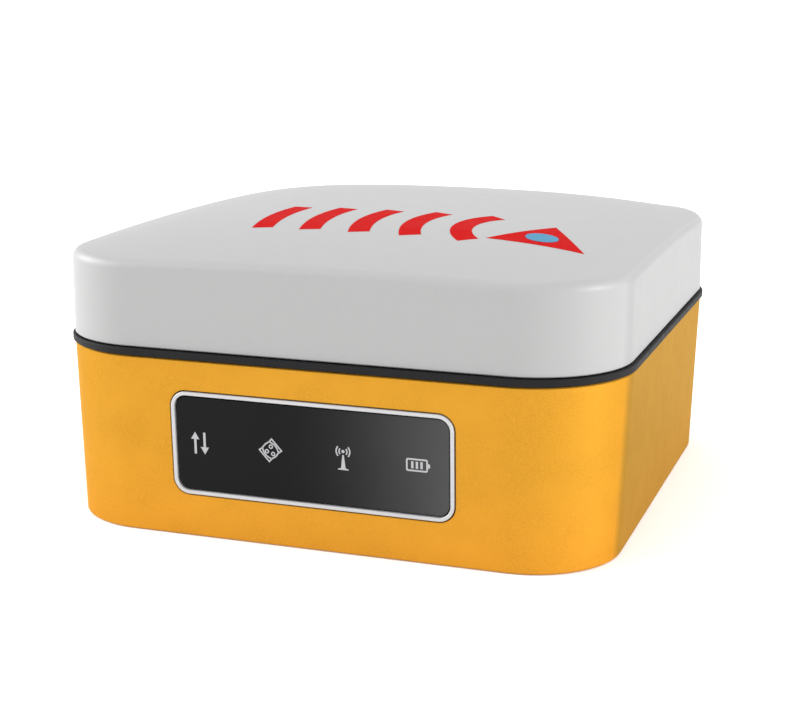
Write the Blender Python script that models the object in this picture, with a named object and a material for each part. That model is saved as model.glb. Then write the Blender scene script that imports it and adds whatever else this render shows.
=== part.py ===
"""Square GNSS survey receiver: orange lower housing, white domed antenna cover, dark sealing band.

Frame: metres, +Z up, origin at the centre of the resting face under the housing.
The indicator panel faces -Y, the battery door faces +Y, and the ports and power button face -X.
"""

from math import atan, atan2, cos, pi, radians, sin

import bmesh
import bpy
from mathutils import Matrix, Vector

# ---------------------------------------------------------------- driving dimensions, in metres
GAP = 0.0003              # clearance between pieces that touch
REACH = 0.0010            # how far a cutter runs past the face it cuts
ROOT = 0.0005             # how far a post is rooted in its floor

HOUSING_BOTTOM_HALF = 0.07396
HOUSING_TOP_HALF = 0.07569
HOUSING_BOTTOM_RADIUS = 0.0234
HOUSING_TOP_RADIUS = 0.0267
HOUSING_TOP_Z = 0.0468
HOUSING_WALL = 0.0028
FLOOR_THICKNESS = 0.0030
BOTTOM_FILLET = 0.0005

BAND_BOTTOM_Z = 0.0471
BAND_TOP_Z = 0.0489
BAND_HALF = 0.07635       # furthest reach of the band's rounded lip
BAND_INNER_HALF = 0.0728
BAND_LIP_EDGE = 0.0003

COVER_BOTTOM_Z = 0.0492
COVER_EDGE_Z = 0.0726     # where the dome meets the fillet, halfway along a side
COVER_BOTTOM_HALF = 0.07543
COVER_BOTTOM_RADIUS = 0.0257
COVER_TOP_HALF = 0.07531
COVER_TOP_RADIUS = 0.0257
COVER_FILLET = 0.0028
COVER_WALL = 0.0024
DOME_CROWN = 0.0049       # rise of the flat-topped part of the dome
DOME_POWER = 3.87         # how flat its top is
DOME_FALL = 0.0019        # rise of the round part, which also drops the corners

PANEL_WIDTH = 0.0754
PANEL_HEIGHT = 0.0273
PANEL_CENTRE_UP = 0.0250   # up the slope of the front wall, from its bottom edge
PANEL_RADIUS = 0.0042
FRAME_STRIP = 0.0010
FRAME_EDGE = 0.0003
FRAME_DEPTH = 0.0026
LENS_FRONT, LENS_BACK = 0.0002, 0.0018     # depths behind the wall face
GUIDE_BACK = 0.0046
LED_FRONT, LED_BACK = 0.0061, 0.0078
INDICATOR_COUNT = 4
INDICATOR_PITCH = 0.0195
INDICATOR_SHIFT = -0.0008

SIDE_Z = 0.0240           # height of the latch, the ports and the button
HINGE_X, HINGE_Y = -0.0444, 0.0736
HINGE_BARREL_RADIUS = 0.0022
HINGE_PIN_RADIUS = 0.0010
HINGE_PIN_LOW_Z, HINGE_PIN_HIGH_Z = 0.0085, 0.0395
LUG_LOW_Z, LUG_HIGH_Z = 0.0080, 0.0400
KNUCKLE_LOW_Z, KNUCKLE_HIGH_Z = 0.0140, 0.0340
DOOR_START_X, DOOR_END_X = -0.0416, 0.0440
DOOR_LOW_Z, DOOR_HIGH_Z = 0.0065, 0.0415
DOOR_BACK_Y = 0.0706
DOOR_RADIUS = 0.0016
DOOR_SLACK = 0.0006
DOOR_SUNK = 0.0001        # how far the door's face lies below the wall's

LATCH_X = 0.0375
LATCH_HOLE_RADIUS = 0.0026
LATCH_RECESS_RADIUS, LATCH_RECESS_Y = 0.0069, 0.0737
KNOB_RADIUS, KNOB_BACK_Y, KNOB_FACE_Y = 0.0064, 0.0740, 0.0754
THUMB_BAR_Y = 0.0762
THUMB_BAR_HALF_LENGTH, THUMB_BAR_HALF_WIDTH = 0.0052, 0.0011
CAM_HALF_WIDTH, CAM_HALF_LENGTH = 0.0024, 0.0058
CAM_BACK_Y, CAM_FRONT_Y = 0.0666, 0.0684

BAY_LOW = Vector((-0.0397, 0.0295, 0.0125))
BAY_HIGH = Vector((0.0287, 0.0690, 0.0355))
BAY_WALL = 0.0016
BAY_BACK_WALL = 0.0020
BAY_FLANGE_Y = 0.0670

PORT_YS = {"data_port": -0.0040, "power_port": -0.0300}
PORT_RADIUS = 0.0080
PORT_BORE = 0.0058
PORT_FACE_X, PORT_FLOOR_X, PORT_BACK_X = -0.0733, -0.0650, -0.0600
PORT_CORE_RADIUS, PORT_CORE_X = 0.0034, -0.0672
CAP_RADIUS = 0.0095
CAP_BACK_X, CAP_FACE_X, CAP_GRIP_X = -0.0742, -0.0754, -0.0760
CAP_RECESS_X = -0.0739
BUTTON_Y, BUTTON_RADIUS = 0.0280, 0.0060
BUTTON_HOLE_RADIUS = 0.0064
BUTTON_FLANGE_RADIUS = 0.0078

POLE_INSERT_RADIUS = 0.0130
POLE_INSERT_LOW, POLE_INSERT_TOP = 0.0004, 0.0184
POLE_THREAD_RADIUS, POLE_THREAD_TOP = 0.0072, 0.0154
POLE_BOSS_RADIUS = 0.0160
JACK_Y = -0.0460
JACK_RECESS_RADIUS, JACK_RECESS_TOP = 0.0090, 0.0125
JACK_BOSS_RADIUS, JACK_BOSS_TOP = 0.0110, 0.0150
JACK_STEM_RADIUS = 0.0038

SPEAKER_X, SPEAKER_Y = -0.0360, 0.0060
SOUND_RING, SOUND_HOLE_RADIUS = 0.0045, 0.0008
PLATE_LOW, PLATE_HIGH = Vector((-0.0250, 0.0340, 0.0001)), Vector((0.0250, 0.0540, 0.0004))
PLATE_SLACK, PLATE_RECESS = 0.0005, 0.0007

CORNER_POST = 0.0580      # housing screws, from both middle planes
CORNER_POST_RADIUS = 0.0060
SCREW_HEAD_RADIUS, SCREW_SHANK_RADIUS = 0.0038, 0.0020
SCREW_HEAD_LOW, SCREW_HEAD_TOP, SCREW_TIP = 0.0008, 0.0043, 0.0585
COVER_BOSS_RADIUS, COVER_BOSS_TOP = 0.0050, 0.0724

BOARD_POST_X, BOARD_POST_Y = 0.0500, 0.0320
BOARD_POST_RADIUS = 0.0035
BOARD_Z, BOARD_THICKNESS = 0.0260, 0.0016
BOARD_HOLE_RADIUS = 0.0016
GROUND_PLANE_Z, GROUND_PLANE_HALF, GROUND_PLANE_RADIUS = 0.0530, 0.0620, 0.0340
LOWER_PATCH_HALF, LOWER_PATCH_HEIGHT = 0.0400, 0.0060
UPPER_PATCH_HALF, UPPER_PATCH_HEIGHT = 0.0270, 0.0045
STUD_RADIUS, STUD_HOLE_RADIUS = 0.0012, 0.0015

WALL_TILT = atan2(HOUSING_TOP_HALF - HOUSING_BOTTOM_HALF, HOUSING_TOP_Z)
CORNER_STEPS = 8
SHARP_ANGLE = radians(35)

TO_X = Matrix.Rotation(radians(90), 4, "Y")     # turns a part made along Z to lie along X
TO_Y = Matrix.Rotation(radians(-90), 4, "X")    # and along Y


# ---------------------------------------------------------------- scene, materials and objects
def clear_scene():
    for obj in list(bpy.data.objects):
        bpy.data.objects.remove(obj, do_unlink=True)


def material(name, colour, roughness, metallic=0.0):
    made = bpy.data.materials.new(name)
    made.use_nodes = True
    shader = made.node_tree.nodes["Principled BSDF"]
    shader.inputs["Base Color"].default_value = (*colour, 1.0)
    shader.inputs["Roughness"].default_value = roughness
    shader.inputs["Metallic"].default_value = metallic
    made.diffuse_color = (*colour, 1.0)
    return made


def add_object(name, bm, finish=None):
    """Makes an object from a bmesh. Without a finish it is a tool for a Boolean, left out of renders."""
    bmesh.ops.recalc_face_normals(bm, faces=bm.faces)
    mesh = bpy.data.meshes.new(name)
    bm.to_mesh(mesh)
    bm.free()
    mesh.shade_smooth()
    mesh.set_sharp_from_angle(angle=SHARP_ANGLE)
    obj = bpy.data.objects.new(name, mesh)
    bpy.context.scene.collection.objects.link(obj)
    if finish:
        mesh.materials.append(finish)
    else:
        obj.hide_render = True
        obj.display_type = "WIRE"
    return obj


def add_empty(name, location, parent=None):
    empty = bpy.data.objects.new(name, None)
    empty.location = location
    empty.parent = parent
    bpy.context.scene.collection.objects.link(empty)
    return empty


def boolean(obj, operation, bm):
    """Joins a closed shape to an object, or cuts one from it."""
    tool = add_object(f"{obj.name}_{operation.lower()}_{len(obj.modifiers)}", bm)
    tool.parent = obj.parent
    modifier = obj.modifiers.new(operation.title(), "BOOLEAN")
    modifier.operation = operation
    modifier.solver = "EXACT"
    modifier.object = tool


def join(obj, bm):
    boolean(obj, "UNION", bm)


def cut(obj, bm):
    boolean(obj, "DIFFERENCE", bm)


# ---------------------------------------------------------------- shapes
def add_box(bm, low, high):
    low, high = Vector(low), Vector(high)
    place = Matrix.Translation((low + high) / 2) @ Matrix.Diagonal((*(high - low), 1.0))
    bmesh.ops.create_cube(bm, size=1.0, matrix=place)


def box(low, high, bevel=0.0):
    bm = bmesh.new()
    add_box(bm, low, high)
    if bevel:
        bmesh.ops.bevel(bm, geom=bm.edges, offset=bevel, segments=1, affect="EDGES")
    return bm


def add_rod(bm, radius, start, end, x=0.0, y=0.0, steps=20, turn=None):
    """A closed cylinder along Z between two heights, or along the turned axis."""
    place = Matrix.Translation((x, y, (start + end) / 2))
    if turn:
        place = turn @ place
    bmesh.ops.create_cone(
        bm, cap_ends=True, segments=steps, radius1=radius, radius2=radius, depth=end - start, matrix=place,
    )


def rod(*args, **kwargs):
    bm = bmesh.new()
    add_rod(bm, *args, **kwargs)
    return bm


def turned(profile, steps=24, place=None):
    """A profile of (radius, height) points spun round the Z axis, then placed."""
    bm = bmesh.new()
    verts = [bm.verts.new((radius, 0, height)) for radius, height in profile]
    edges = [bm.edges.new(pair) for pair in zip(verts, verts[1:])]
    bmesh.ops.spin(bm, geom=verts + edges, angle=2 * pi, steps=steps, axis=(0, 0, 1), cent=(0, 0, 0))
    bmesh.ops.remove_doubles(bm, verts=bm.verts, dist=1e-6)
    if place:
        bmesh.ops.transform(bm, matrix=place, verts=bm.verts)
    return bm


def directed_outline(half_x, half_y, radius, steps=CORNER_STEPS, side_steps=1):
    """Points round a rounded rectangle about the origin, anticlockwise, each with its outward direction."""
    found = []
    for quarter, (sign_x, sign_y) in enumerate(((1, 1), (-1, 1), (-1, -1), (1, -1))):
        centre = Vector((sign_x * (half_x - radius), sign_y * (half_y - radius)))
        next_centre = Vector((-sign_y * (half_x - radius), sign_x * (half_y - radius)))
        for step in range(steps + 1):
            angle = (quarter + step / steps) * pi / 2
            out = Vector((cos(angle), sin(angle)))
            found.append((centre + radius * out, out))
        for step in range(1, side_steps):
            along = centre.lerp(next_centre, step / side_steps)
            found.append((along + radius * out, out))
    return found


def rounded_outline(half_x, half_y, radius, steps=CORNER_STEPS, side_steps=1):
    return [point for point, _ in directed_outline(half_x, half_y, radius, steps, side_steps)]


def loft(loops, closed=False):
    """Bridges loops of equal count, then caps the ends, or joins the last loop to the first."""
    bm = bmesh.new()
    rings = [[bm.verts.new(point) for point in loop] for loop in loops]
    pairs = list(zip(rings, rings[1:]))
    if closed:
        pairs.append((rings[-1], rings[0]))
    for lower, upper in pairs:
        for i in range(len(lower)):
            j = (i + 1) % len(lower)
            bm.faces.new((lower[i], lower[j], upper[j], upper[i]))
    if not closed:
        bm.faces.new(list(reversed(rings[0])))
        bm.faces.new(rings[-1])
    return bm


def level(outline, z):
    return [Vector((point.x, point.y, z)) for point in outline]


def plate(outline, low_z, high_z):
    return loft([level(outline, low_z), level(outline, high_z)])


def upright_loop(half_x, half_z, radius, centre_x, centre_z, y, steps=5):
    """A rounded rectangle standing on edge, at one depth along Y."""
    outline = rounded_outline(half_x, half_z, radius, steps)
    return [Vector((centre_x + point.x, y, centre_z + point.y)) for point in outline]


def upright_plate(half_x, half_z, radius, centre_x, centre_z, low_y, high_y, steps=5):
    return loft([upright_loop(half_x, half_z, radius, centre_x, centre_z, y, steps) for y in (low_y, high_y)])


# ---------------------------------------------------------------- lower housing and band
def housing_half(z):
    return HOUSING_BOTTOM_HALF + (HOUSING_TOP_HALF - HOUSING_BOTTOM_HALF) * z / HOUSING_TOP_Z


def housing_loop(z, inset):
    half = housing_half(z) - inset
    radius = HOUSING_BOTTOM_RADIUS + (HOUSING_TOP_RADIUS - HOUSING_BOTTOM_RADIUS) * z / HOUSING_TOP_Z
    return level(rounded_outline(half, half, radius - inset), z)


def four_places(x, y):
    return [(side_x * x, side_y * y) for side_x in (-1, 1) for side_y in (-1, 1)]


def corner_places():
    return four_places(CORNER_POST, CORNER_POST)


def board_post_places():
    return four_places(BOARD_POST_X, BOARD_POST_Y)


def sound_hole_places():
    turns = [k * pi / 3 for k in range(6)]
    ring = [(SPEAKER_X + SOUND_RING * cos(turn), SPEAKER_Y + SOUND_RING * sin(turn)) for turn in turns]
    return [(SPEAKER_X, SPEAKER_Y)] + ring


def housing_blank():
    loops = []
    fillet_steps = 2
    for step in range(fillet_steps + 1):
        angle = step / fillet_steps * pi / 2
        loops.append(housing_loop(BOTTOM_FILLET * (1 - cos(angle)), BOTTOM_FILLET * (1 - sin(angle))))
    loops.append(housing_loop(HOUSING_TOP_Z, 0))
    loops.append(housing_loop(HOUSING_TOP_Z, HOUSING_WALL))
    loops.append(housing_loop(FLOOR_THICKNESS, HOUSING_WALL))
    return loft(loops)


def housing_posts():
    root_z = FLOOR_THICKNESS - ROOT
    posts = bmesh.new()
    for x, y in corner_places():
        add_rod(posts, CORNER_POST_RADIUS, root_z, HOUSING_TOP_Z - 2 * GAP, x, y)
    for x, y in board_post_places():
        add_rod(posts, BOARD_POST_RADIUS, root_z, BOARD_Z - GAP, x, y, 14)
    add_rod(posts, POLE_BOSS_RADIUS, root_z, POLE_INSERT_TOP + 0.0021, steps=32)
    add_rod(posts, JACK_BOSS_RADIUS, root_z, JACK_BOSS_TOP, 0, JACK_Y, 28)
    return posts


def underside_recesses():
    wide = bmesh.new()
    for x, y in corner_places():
        add_rod(wide, SCREW_HEAD_RADIUS + 0.0004, -REACH, SCREW_HEAD_TOP + GAP, x, y)
    add_rod(wide, POLE_INSERT_RADIUS + GAP, -REACH, POLE_INSERT_TOP + GAP, steps=32)
    add_rod(wide, JACK_RECESS_RADIUS, -REACH, JACK_RECESS_TOP, 0, JACK_Y, 28)
    slack = Vector((PLATE_SLACK, PLATE_SLACK, 0))
    low, high = PLATE_LOW - slack, PLATE_HIGH + slack
    add_box(wide, (low.x, low.y, -REACH), (high.x, high.y, PLATE_RECESS))
    for x, y in sound_hole_places():
        add_rod(wide, SOUND_HOLE_RADIUS, -REACH, FLOOR_THICKNESS + REACH, x, y, 8)
    return wide


def fastener_bores():
    narrow = bmesh.new()
    for x, y in corner_places():
        add_rod(narrow, SCREW_SHANK_RADIUS + 0.0004, SCREW_HEAD_TOP - GAP, HOUSING_TOP_Z + REACH, x, y, 14)
    for x, y in board_post_places():
        add_rod(narrow, STUD_HOLE_RADIUS, 0.0190, BOARD_Z + REACH, x, y, 10)
    add_rod(narrow, JACK_STEM_RADIUS + 0.0004, JACK_RECESS_TOP - ROOT, JACK_BOSS_TOP + REACH, 0, JACK_Y, 18)
    return narrow


def wall_openings():
    """The battery door's opening in the rear wall, and the ports' and the button's in the left one."""
    hinge_side, latch_side = HINGE_X - 0.0032, DOOR_END_X + DOOR_SLACK
    openings = upright_plate(
        (latch_side - hinge_side) / 2, (DOOR_HIGH_Z - DOOR_LOW_Z) / 2 + DOOR_SLACK, DOOR_RADIUS + DOOR_SLACK,
        (latch_side + hinge_side) / 2, (DOOR_HIGH_Z + DOOR_LOW_Z) / 2, 0.066, 0.080, 4,
    )
    for y in PORT_YS.values():
        add_rod(openings, PORT_RADIUS + GAP, -0.080, -0.066, -SIDE_Z, y, 24, TO_X)
    add_rod(openings, BUTTON_HOLE_RADIUS, -0.080, -0.066, -SIDE_Z, BUTTON_Y, 24, TO_X)
    return openings


def cap_recesses():
    recesses = bmesh.new()
    for y in PORT_YS.values():
        add_rod(recesses, CAP_RADIUS + 0.0005, -0.080, CAP_RECESS_X, -SIDE_Z, y, 28, TO_X)
    return recesses


def panel_opening(panel_plane):
    opening = upright_plate(
        PANEL_WIDTH / 2 + GAP, PANEL_HEIGHT / 2 + GAP, PANEL_RADIUS + GAP, 0, PANEL_CENTRE_UP, -0.004, 0.006,
    )
    bmesh.ops.transform(opening, matrix=panel_plane.matrix_world, verts=opening.verts)
    return opening


def hinge_lugs():
    lugs, barrels = bmesh.new(), bmesh.new()
    for low, high in ((LUG_LOW_Z, KNUCKLE_LOW_Z - GAP), (KNUCKLE_HIGH_Z + GAP, LUG_HIGH_Z)):
        add_box(lugs, (HINGE_X - 0.0048, HINGE_Y - 0.0009, low), (HINGE_X, HINGE_Y + 0.0007, high))
        add_rod(barrels, HINGE_BARREL_RADIUS, low, high, HINGE_X, HINGE_Y, 18)
    return lugs, barrels


def hinge_bore(offset_x=0.0, offset_y=0.0):
    x, y = HINGE_X - offset_x, HINGE_Y - offset_y
    return rod(HINGE_PIN_RADIUS + GAP, LUG_LOW_Z - REACH, LUG_HIGH_Z + REACH, x, y, 12)


def make_lower_housing(finish, panel_plane):
    housing = add_object("lower_housing", housing_blank(), finish)
    join(housing, housing_posts())
    cut(housing, underside_recesses())
    cut(housing, fastener_bores())
    cut(housing, wall_openings())
    cut(housing, cap_recesses())
    cut(housing, panel_opening(panel_plane))
    lugs, barrels = hinge_lugs()
    join(housing, lugs)
    join(housing, barrels)
    cut(housing, hinge_bore())


def make_sealing_band(finish):
    edge = BAND_LIP_EDGE
    section = (
        (BAND_HALF - edge, BAND_BOTTOM_Z), (BAND_HALF, BAND_BOTTOM_Z + edge), (BAND_HALF, BAND_TOP_Z - edge),
        (BAND_HALF - edge, BAND_TOP_Z), (BAND_INNER_HALF, BAND_TOP_Z), (BAND_INNER_HALF, BAND_BOTTOM_Z),
    )
    loops = []
    for half, z in section:
        radius = HOUSING_TOP_RADIUS + half - HOUSING_TOP_HALF
        loops.append(level(rounded_outline(half, half, radius), z))
    add_object("sealing_band", loft(loops, closed=True), finish)


# ---------------------------------------------------------------- top cover
def dome_height(point, half):
    share_x, share_y = abs(point.x) / half, abs(point.y) / half
    crown = (1 - share_x**DOME_POWER) * (1 - share_y**DOME_POWER)
    return COVER_EDGE_Z + DOME_CROWN * crown + DOME_FALL * (1 - share_x**2 - share_y**2)


def dome_slope(point, out, half):
    """Angle at which the dome falls away at its edge."""
    step = 0.0001
    return atan((dome_height(point - out * step, half) - dome_height(point, half)) / step)


def cover_loops(depth):
    """Loops from the cover's rim up its wall, over the fillet and in to the dome's centre.

    A depth of 0 gives the outer surface, and the wall's thickness gives the inner one.
    """
    side_steps, fillet_steps = 3, 5
    dome_shares = (0.88, 0.74, 0.58, 0.42, 0.26, 0.12)
    half, radius = COVER_TOP_HALF - COVER_FILLET, COVER_TOP_RADIUS - COVER_FILLET
    rim = COVER_BOTTOM_HALF - depth
    rim_outline = rounded_outline(rim, rim, COVER_BOTTOM_RADIUS - depth, side_steps=side_steps)
    edge = directed_outline(half, half, radius, side_steps=side_steps)
    loops = [level(rim_outline, COVER_BOTTOM_Z)]
    for step in range(fillet_steps + 1):
        loop = []
        for point, out in edge:
            slope = dome_slope(point, out, half)
            angle = step / fillet_steps * (pi / 2 - slope)
            centre_z = dome_height(point, half) - COVER_FILLET * (1 + 1 / cos(slope)) / 2
            place = point + out * (COVER_FILLET - depth) * cos(angle)
            loop.append(Vector((place.x, place.y, centre_z + (COVER_FILLET - depth) * sin(angle))))
        loops.append(loop)
    for share in dome_shares:
        loop = []
        for point, _ in edge:
            place = point * share
            loop.append(Vector((place.x, place.y, dome_height(place, half) - depth)))
        loops.append(loop)
    return loops


def make_top_cover(finish):
    inner, outer = cover_loops(COVER_WALL), cover_loops(0.0)
    cover = add_object("top_cover", loft(inner[::-1] + outer), finish)
    bosses, bores = bmesh.new(), bmesh.new()
    for x, y in corner_places():
        add_rod(bosses, COVER_BOSS_RADIUS, COVER_BOTTOM_Z + GAP, COVER_BOSS_TOP, x, y, 18)
        add_rod(bores, SCREW_SHANK_RADIUS + GAP, COVER_BOTTOM_Z - REACH, 0.0620, x, y, 14)
    join(cover, bosses)
    cut(cover, bores)


def make_housing_screws(finish):
    """Hex socket screws that come up from below into the cover's bosses."""
    head, shank = SCREW_HEAD_RADIUS, SCREW_SHANK_RADIUS
    edge, tip_edge = 0.0008, 0.0010
    profile = (
        (0, SCREW_HEAD_LOW), (head - edge, SCREW_HEAD_LOW), (head, SCREW_HEAD_LOW + edge),
        (head, SCREW_HEAD_TOP), (shank, SCREW_HEAD_TOP), (shank, SCREW_TIP - tip_edge),
        (shank - tip_edge / 2, SCREW_TIP), (0, SCREW_TIP),
    )
    socket_radius, socket_depth = 0.0012, 0.0016
    for number, (x, y) in enumerate(corner_places(), 1):
        bm = turned(profile, 16, Matrix.Translation((x, y, 0)))
        screw = add_object(f"housing_screw_{number}", bm, finish)
        cut(screw, rod(socket_radius, 0, SCREW_HEAD_LOW + socket_depth, x, y, 6))


# ---------------------------------------------------------------- front indicator panel
def panel_loop(inset, depth):
    """The panel's outline drawn in by an inset, at a depth behind the wall face."""
    half_x, half_z = PANEL_WIDTH / 2 - inset, PANEL_HEIGHT / 2 - inset
    return upright_loop(half_x, half_z, PANEL_RADIUS - inset, 0, PANEL_CENTRE_UP, depth)


def panel_box(half_x, half_z, front, back, centre_x=0.0, bevel=0.0):
    low = (centre_x - half_x, front, PANEL_CENTRE_UP - half_z)
    high = (centre_x + half_x, back, PANEL_CENTRE_UP + half_z)
    return box(low, high, bevel)


def make_panel(plane, metal, black, clear, board, led):
    edge, strip = FRAME_EDGE, FRAME_STRIP
    frame_section = (
        (0, FRAME_DEPTH), (0, 0), (edge, -edge), (strip - edge, -edge), (strip, 0), (strip, FRAME_DEPTH),
    )
    frame = loft([panel_loop(inset, depth) for inset, depth in frame_section], closed=True)
    lens = loft([panel_loop(strip + GAP, LENS_FRONT), panel_loop(strip + GAP, LENS_BACK)])
    guide_bar = panel_box(0.0345, 0.0060, LENS_BACK + GAP, GUIDE_BACK, bevel=0.0004)
    guide = add_object("light_guide", guide_bar, clear)
    pieces = [add_object("panel_frame", frame, metal), add_object("panel_lens", lens, black), guide]
    pegs = bmesh.new()
    for number in range(INDICATOR_COUNT):
        x = INDICATOR_SHIFT + (number - (INDICATOR_COUNT - 1) / 2) * INDICATOR_PITCH
        add_rod(pegs, 0.0018, GUIDE_BACK - 0.0006, LED_FRONT - GAP, x, -PANEL_CENTRE_UP, 12, TO_Y)
        lamp = panel_box(0.0016, 0.0014, LED_FRONT, LED_BACK, x, 0.0002)
        pieces.append(add_object(f"indicator_led_{number + 1}", lamp, led))
    board_front = LED_BACK + GAP
    indicator_board = panel_box(0.0360, 0.0125, board_front, board_front + BOARD_THICKNESS)
    pieces.append(add_object("indicator_board", indicator_board, board))
    for piece in pieces:
        piece.parent = plane
    join(guide, pegs)


# ---------------------------------------------------------------- electronics
def make_main_board(finish):
    half_x, front_y, rear_y = 0.0550, -0.0500, 0.0370
    notch_x, notch_y = 0.0440, 0.0260      # clears the battery bay
    outline = ((-half_x, front_y), (half_x, front_y), (half_x, rear_y), (notch_x, rear_y), (notch_x, notch_y),
               (-notch_x, notch_y), (-notch_x, rear_y), (-half_x, rear_y))
    top = BOARD_Z + BOARD_THICKNESS
    board = add_object("main_board", plate([Vector(point) for point in outline], BOARD_Z, top), finish)
    holes = bmesh.new()
    for x, y in board_post_places():
        add_rod(holes, BOARD_HOLE_RADIUS, BOARD_Z - REACH, top + REACH, x, y, 12)
    cut(board, holes)


def make_board_pieces(metal, black):
    top = BOARD_Z + BOARD_THICKNESS + GAP
    gnss_height, radio_height, bevel = 0.0045, 0.0070, 0.0004
    gnss = box((0.006, -0.038, top), (0.044, -0.008, top + gnss_height), bevel)
    radio = box((-0.044, -0.040, top), (-0.004, -0.006, top + radio_height), bevel)
    add_object("gnss_module", gnss, metal)
    add_object("radio_module", radio, metal)
    low, rim_low, rim_high, high = 0.0036, 0.0046, 0.0075, 0.0085
    profile = ((0, low), (0.0110, low), (0.0130, rim_low), (0.0130, rim_high), (0.0070, high), (0, high))
    add_object("speaker", turned(profile, 24, Matrix.Translation((SPEAKER_X, SPEAKER_Y, 0))), black)


def make_ground_plane(finish):
    half, top = GROUND_PLANE_HALF, GROUND_PLANE_Z + BOARD_THICKNESS
    outline = rounded_outline(half, half, GROUND_PLANE_RADIUS)
    ground = add_object("antenna_ground_plane", plate(outline, GROUND_PLANE_Z, top), finish)
    holes = bmesh.new()
    for x, y in board_post_places():
        add_rod(holes, BOARD_HOLE_RADIUS, GROUND_PLANE_Z - REACH, top + REACH, x, y, 12)
    cut(ground, holes)


def make_patches(ceramic, metal):
    low = GROUND_PLANE_Z + BOARD_THICKNESS + GAP
    for name, half, height in (
        ("antenna_patch_lower", LOWER_PATCH_HALF, LOWER_PATCH_HEIGHT),
        ("antenna_patch_upper", UPPER_PATCH_HALF, UPPER_PATCH_HEIGHT),
    ):
        outline = rounded_outline(half, half, 0.0025, 2)
        add_object(name, plate(outline, low, low + height), ceramic)
        low += height + GAP
    under = GROUND_PLANE_Z - GAP
    shield = box((-0.020, -0.015, under - 0.0040), (0.020, 0.015, under), 0.0004)
    add_object("amplifier_shield", shield, metal)


def make_standoffs(brass, metal):
    """Hex posts screwed into the board posts, and the screws that hold the ground plane on them."""
    low, top = BOARD_Z + BOARD_THICKNESS + GAP, GROUND_PLANE_Z - GAP
    head = GROUND_PLANE_Z + BOARD_THICKNESS + GAP
    screw_end = top - 0.0055
    profile = ((0, screw_end), (STUD_RADIUS, screw_end), (STUD_RADIUS, head), (0.0028, head),
               (0.0028, head + 0.0012), (0.0018, head + 0.0020), (0, head + 0.0020))
    for number, (x, y) in enumerate(board_post_places(), 1):
        post = add_object(f"antenna_standoff_{number}", rod(0.0032, low, top, x, y, 6), brass)
        join(post, rod(STUD_RADIUS, 0.0200, low + REACH, x, y, 10))
        cut(post, rod(STUD_HOLE_RADIUS, screw_end - REACH, top + REACH, x, y, 10))
        screw = turned(profile, 12, Matrix.Translation((x, y, 0)))
        add_object(f"antenna_screw_{number}", screw, metal)


def smooth_route(points, steps):
    """A Catmull-Rom curve through the given points."""
    padded = [points[0]] + points + [points[-1]]
    route = []
    for i in range(1, len(padded) - 2):
        a, b, c, d = padded[i - 1:i + 3]
        for step in range(steps):
            t = step / steps
            bend = 2 * a - 5 * b + 4 * c - d
            twist = 3 * b - a - 3 * c + d
            route.append(0.5 * (2 * b + (c - a) * t + bend * t**2 + twist * t**3))
    return route + [points[-1]]


def make_antenna_lead(finish):
    """The coaxial lead from the amplifier down to the receiver module."""
    route = [(0.008, 0.000, 0.0483), (0.008, 0.000, 0.0455), (0.006, -0.002, 0.0415), (0.012, -0.010, 0.0385),
             (0.020, -0.018, 0.0370), (0.024, -0.021, 0.0350), (0.024, -0.021, 0.0327)]
    curve = bpy.data.curves.new("antenna_lead", "CURVE")
    curve.dimensions = "3D"
    curve.bevel_depth = 0.0009
    curve.bevel_resolution = 2
    curve.use_fill_caps = True
    spline = curve.splines.new("POLY")
    points = smooth_route([Vector(point) for point in route], 4)
    spline.points.add(len(points) - 1)
    for knot, point in zip(spline.points, points):
        knot.co = (*point, 1.0)
    curve.materials.append(finish)
    lead = bpy.data.objects.new("antenna_lead", curve)
    bpy.context.scene.collection.objects.link(lead)


# ---------------------------------------------------------------- battery bay
def make_battery_bay(finish):
    low, high = BAY_LOW, BAY_HIGH
    wall = Vector((BAY_WALL, BAY_BACK_WALL, BAY_WALL))
    bay = add_object("battery_bay", box(low - wall, (high.x + BAY_WALL, high.y, high.z + BAY_WALL)), finish)
    join(bay, upright_plate(0.0480, 0.0200, 0.0030, -0.0010, SIDE_Z, BAY_FLANGE_Y, high.y, 4))
    cut(bay, box(low, (high.x, high.y + REACH, high.z)))
    latch_clearance = 0.0070
    cut(bay, rod(latch_clearance, 0.060, 0.075, LATCH_X, -SIDE_Z, 24, TO_Y))


def make_door_gasket(finish):
    centre_x, width = (BAY_LOW.x + BAY_HIGH.x) / 2, 0.0018
    back, front = BAY_HIGH.y + GAP, DOOR_BACK_Y - GAP
    half_x, half_z, radius = 0.0365, 0.0142, 0.0030
    loops = []
    for inset, y in ((0, back), (0, front), (width, front), (width, back)):
        loops.append(upright_loop(half_x - inset, half_z - inset, radius - inset, centre_x, SIDE_Z, y, 3))
    add_object("door_gasket", loft(loops, closed=True), finish)


def make_battery(brass, pack):
    low, high = BAY_LOW, BAY_HIGH
    back = low.y + GAP
    block_front, blade_front = low.y + 0.0016, low.y + 0.0021
    block = box((-0.014, back, SIDE_Z - 0.006), (0.004, block_front, SIDE_Z + 0.006), 0.0002)
    contacts = add_object("battery_contact_block", block, brass)
    blades = bmesh.new()
    for x in (-0.010, -0.005, 0.000):
        blade_low = (x - 0.0012, back + 0.0007, SIDE_Z - 0.003)
        add_box(blades, blade_low, (x + 0.0012, blade_front, SIDE_Z + 0.003))
    join(contacts, blades)
    side_slack, height_slack = 0.0005, 0.0004
    pack_low = (low.x + side_slack, blade_front + 0.0004, low.z + height_slack)
    pack_high = (high.x - side_slack, high.y - 0.0010, high.z - height_slack)
    add_object("battery_pack", box(pack_low, pack_high, 0.0012), pack)


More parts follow.
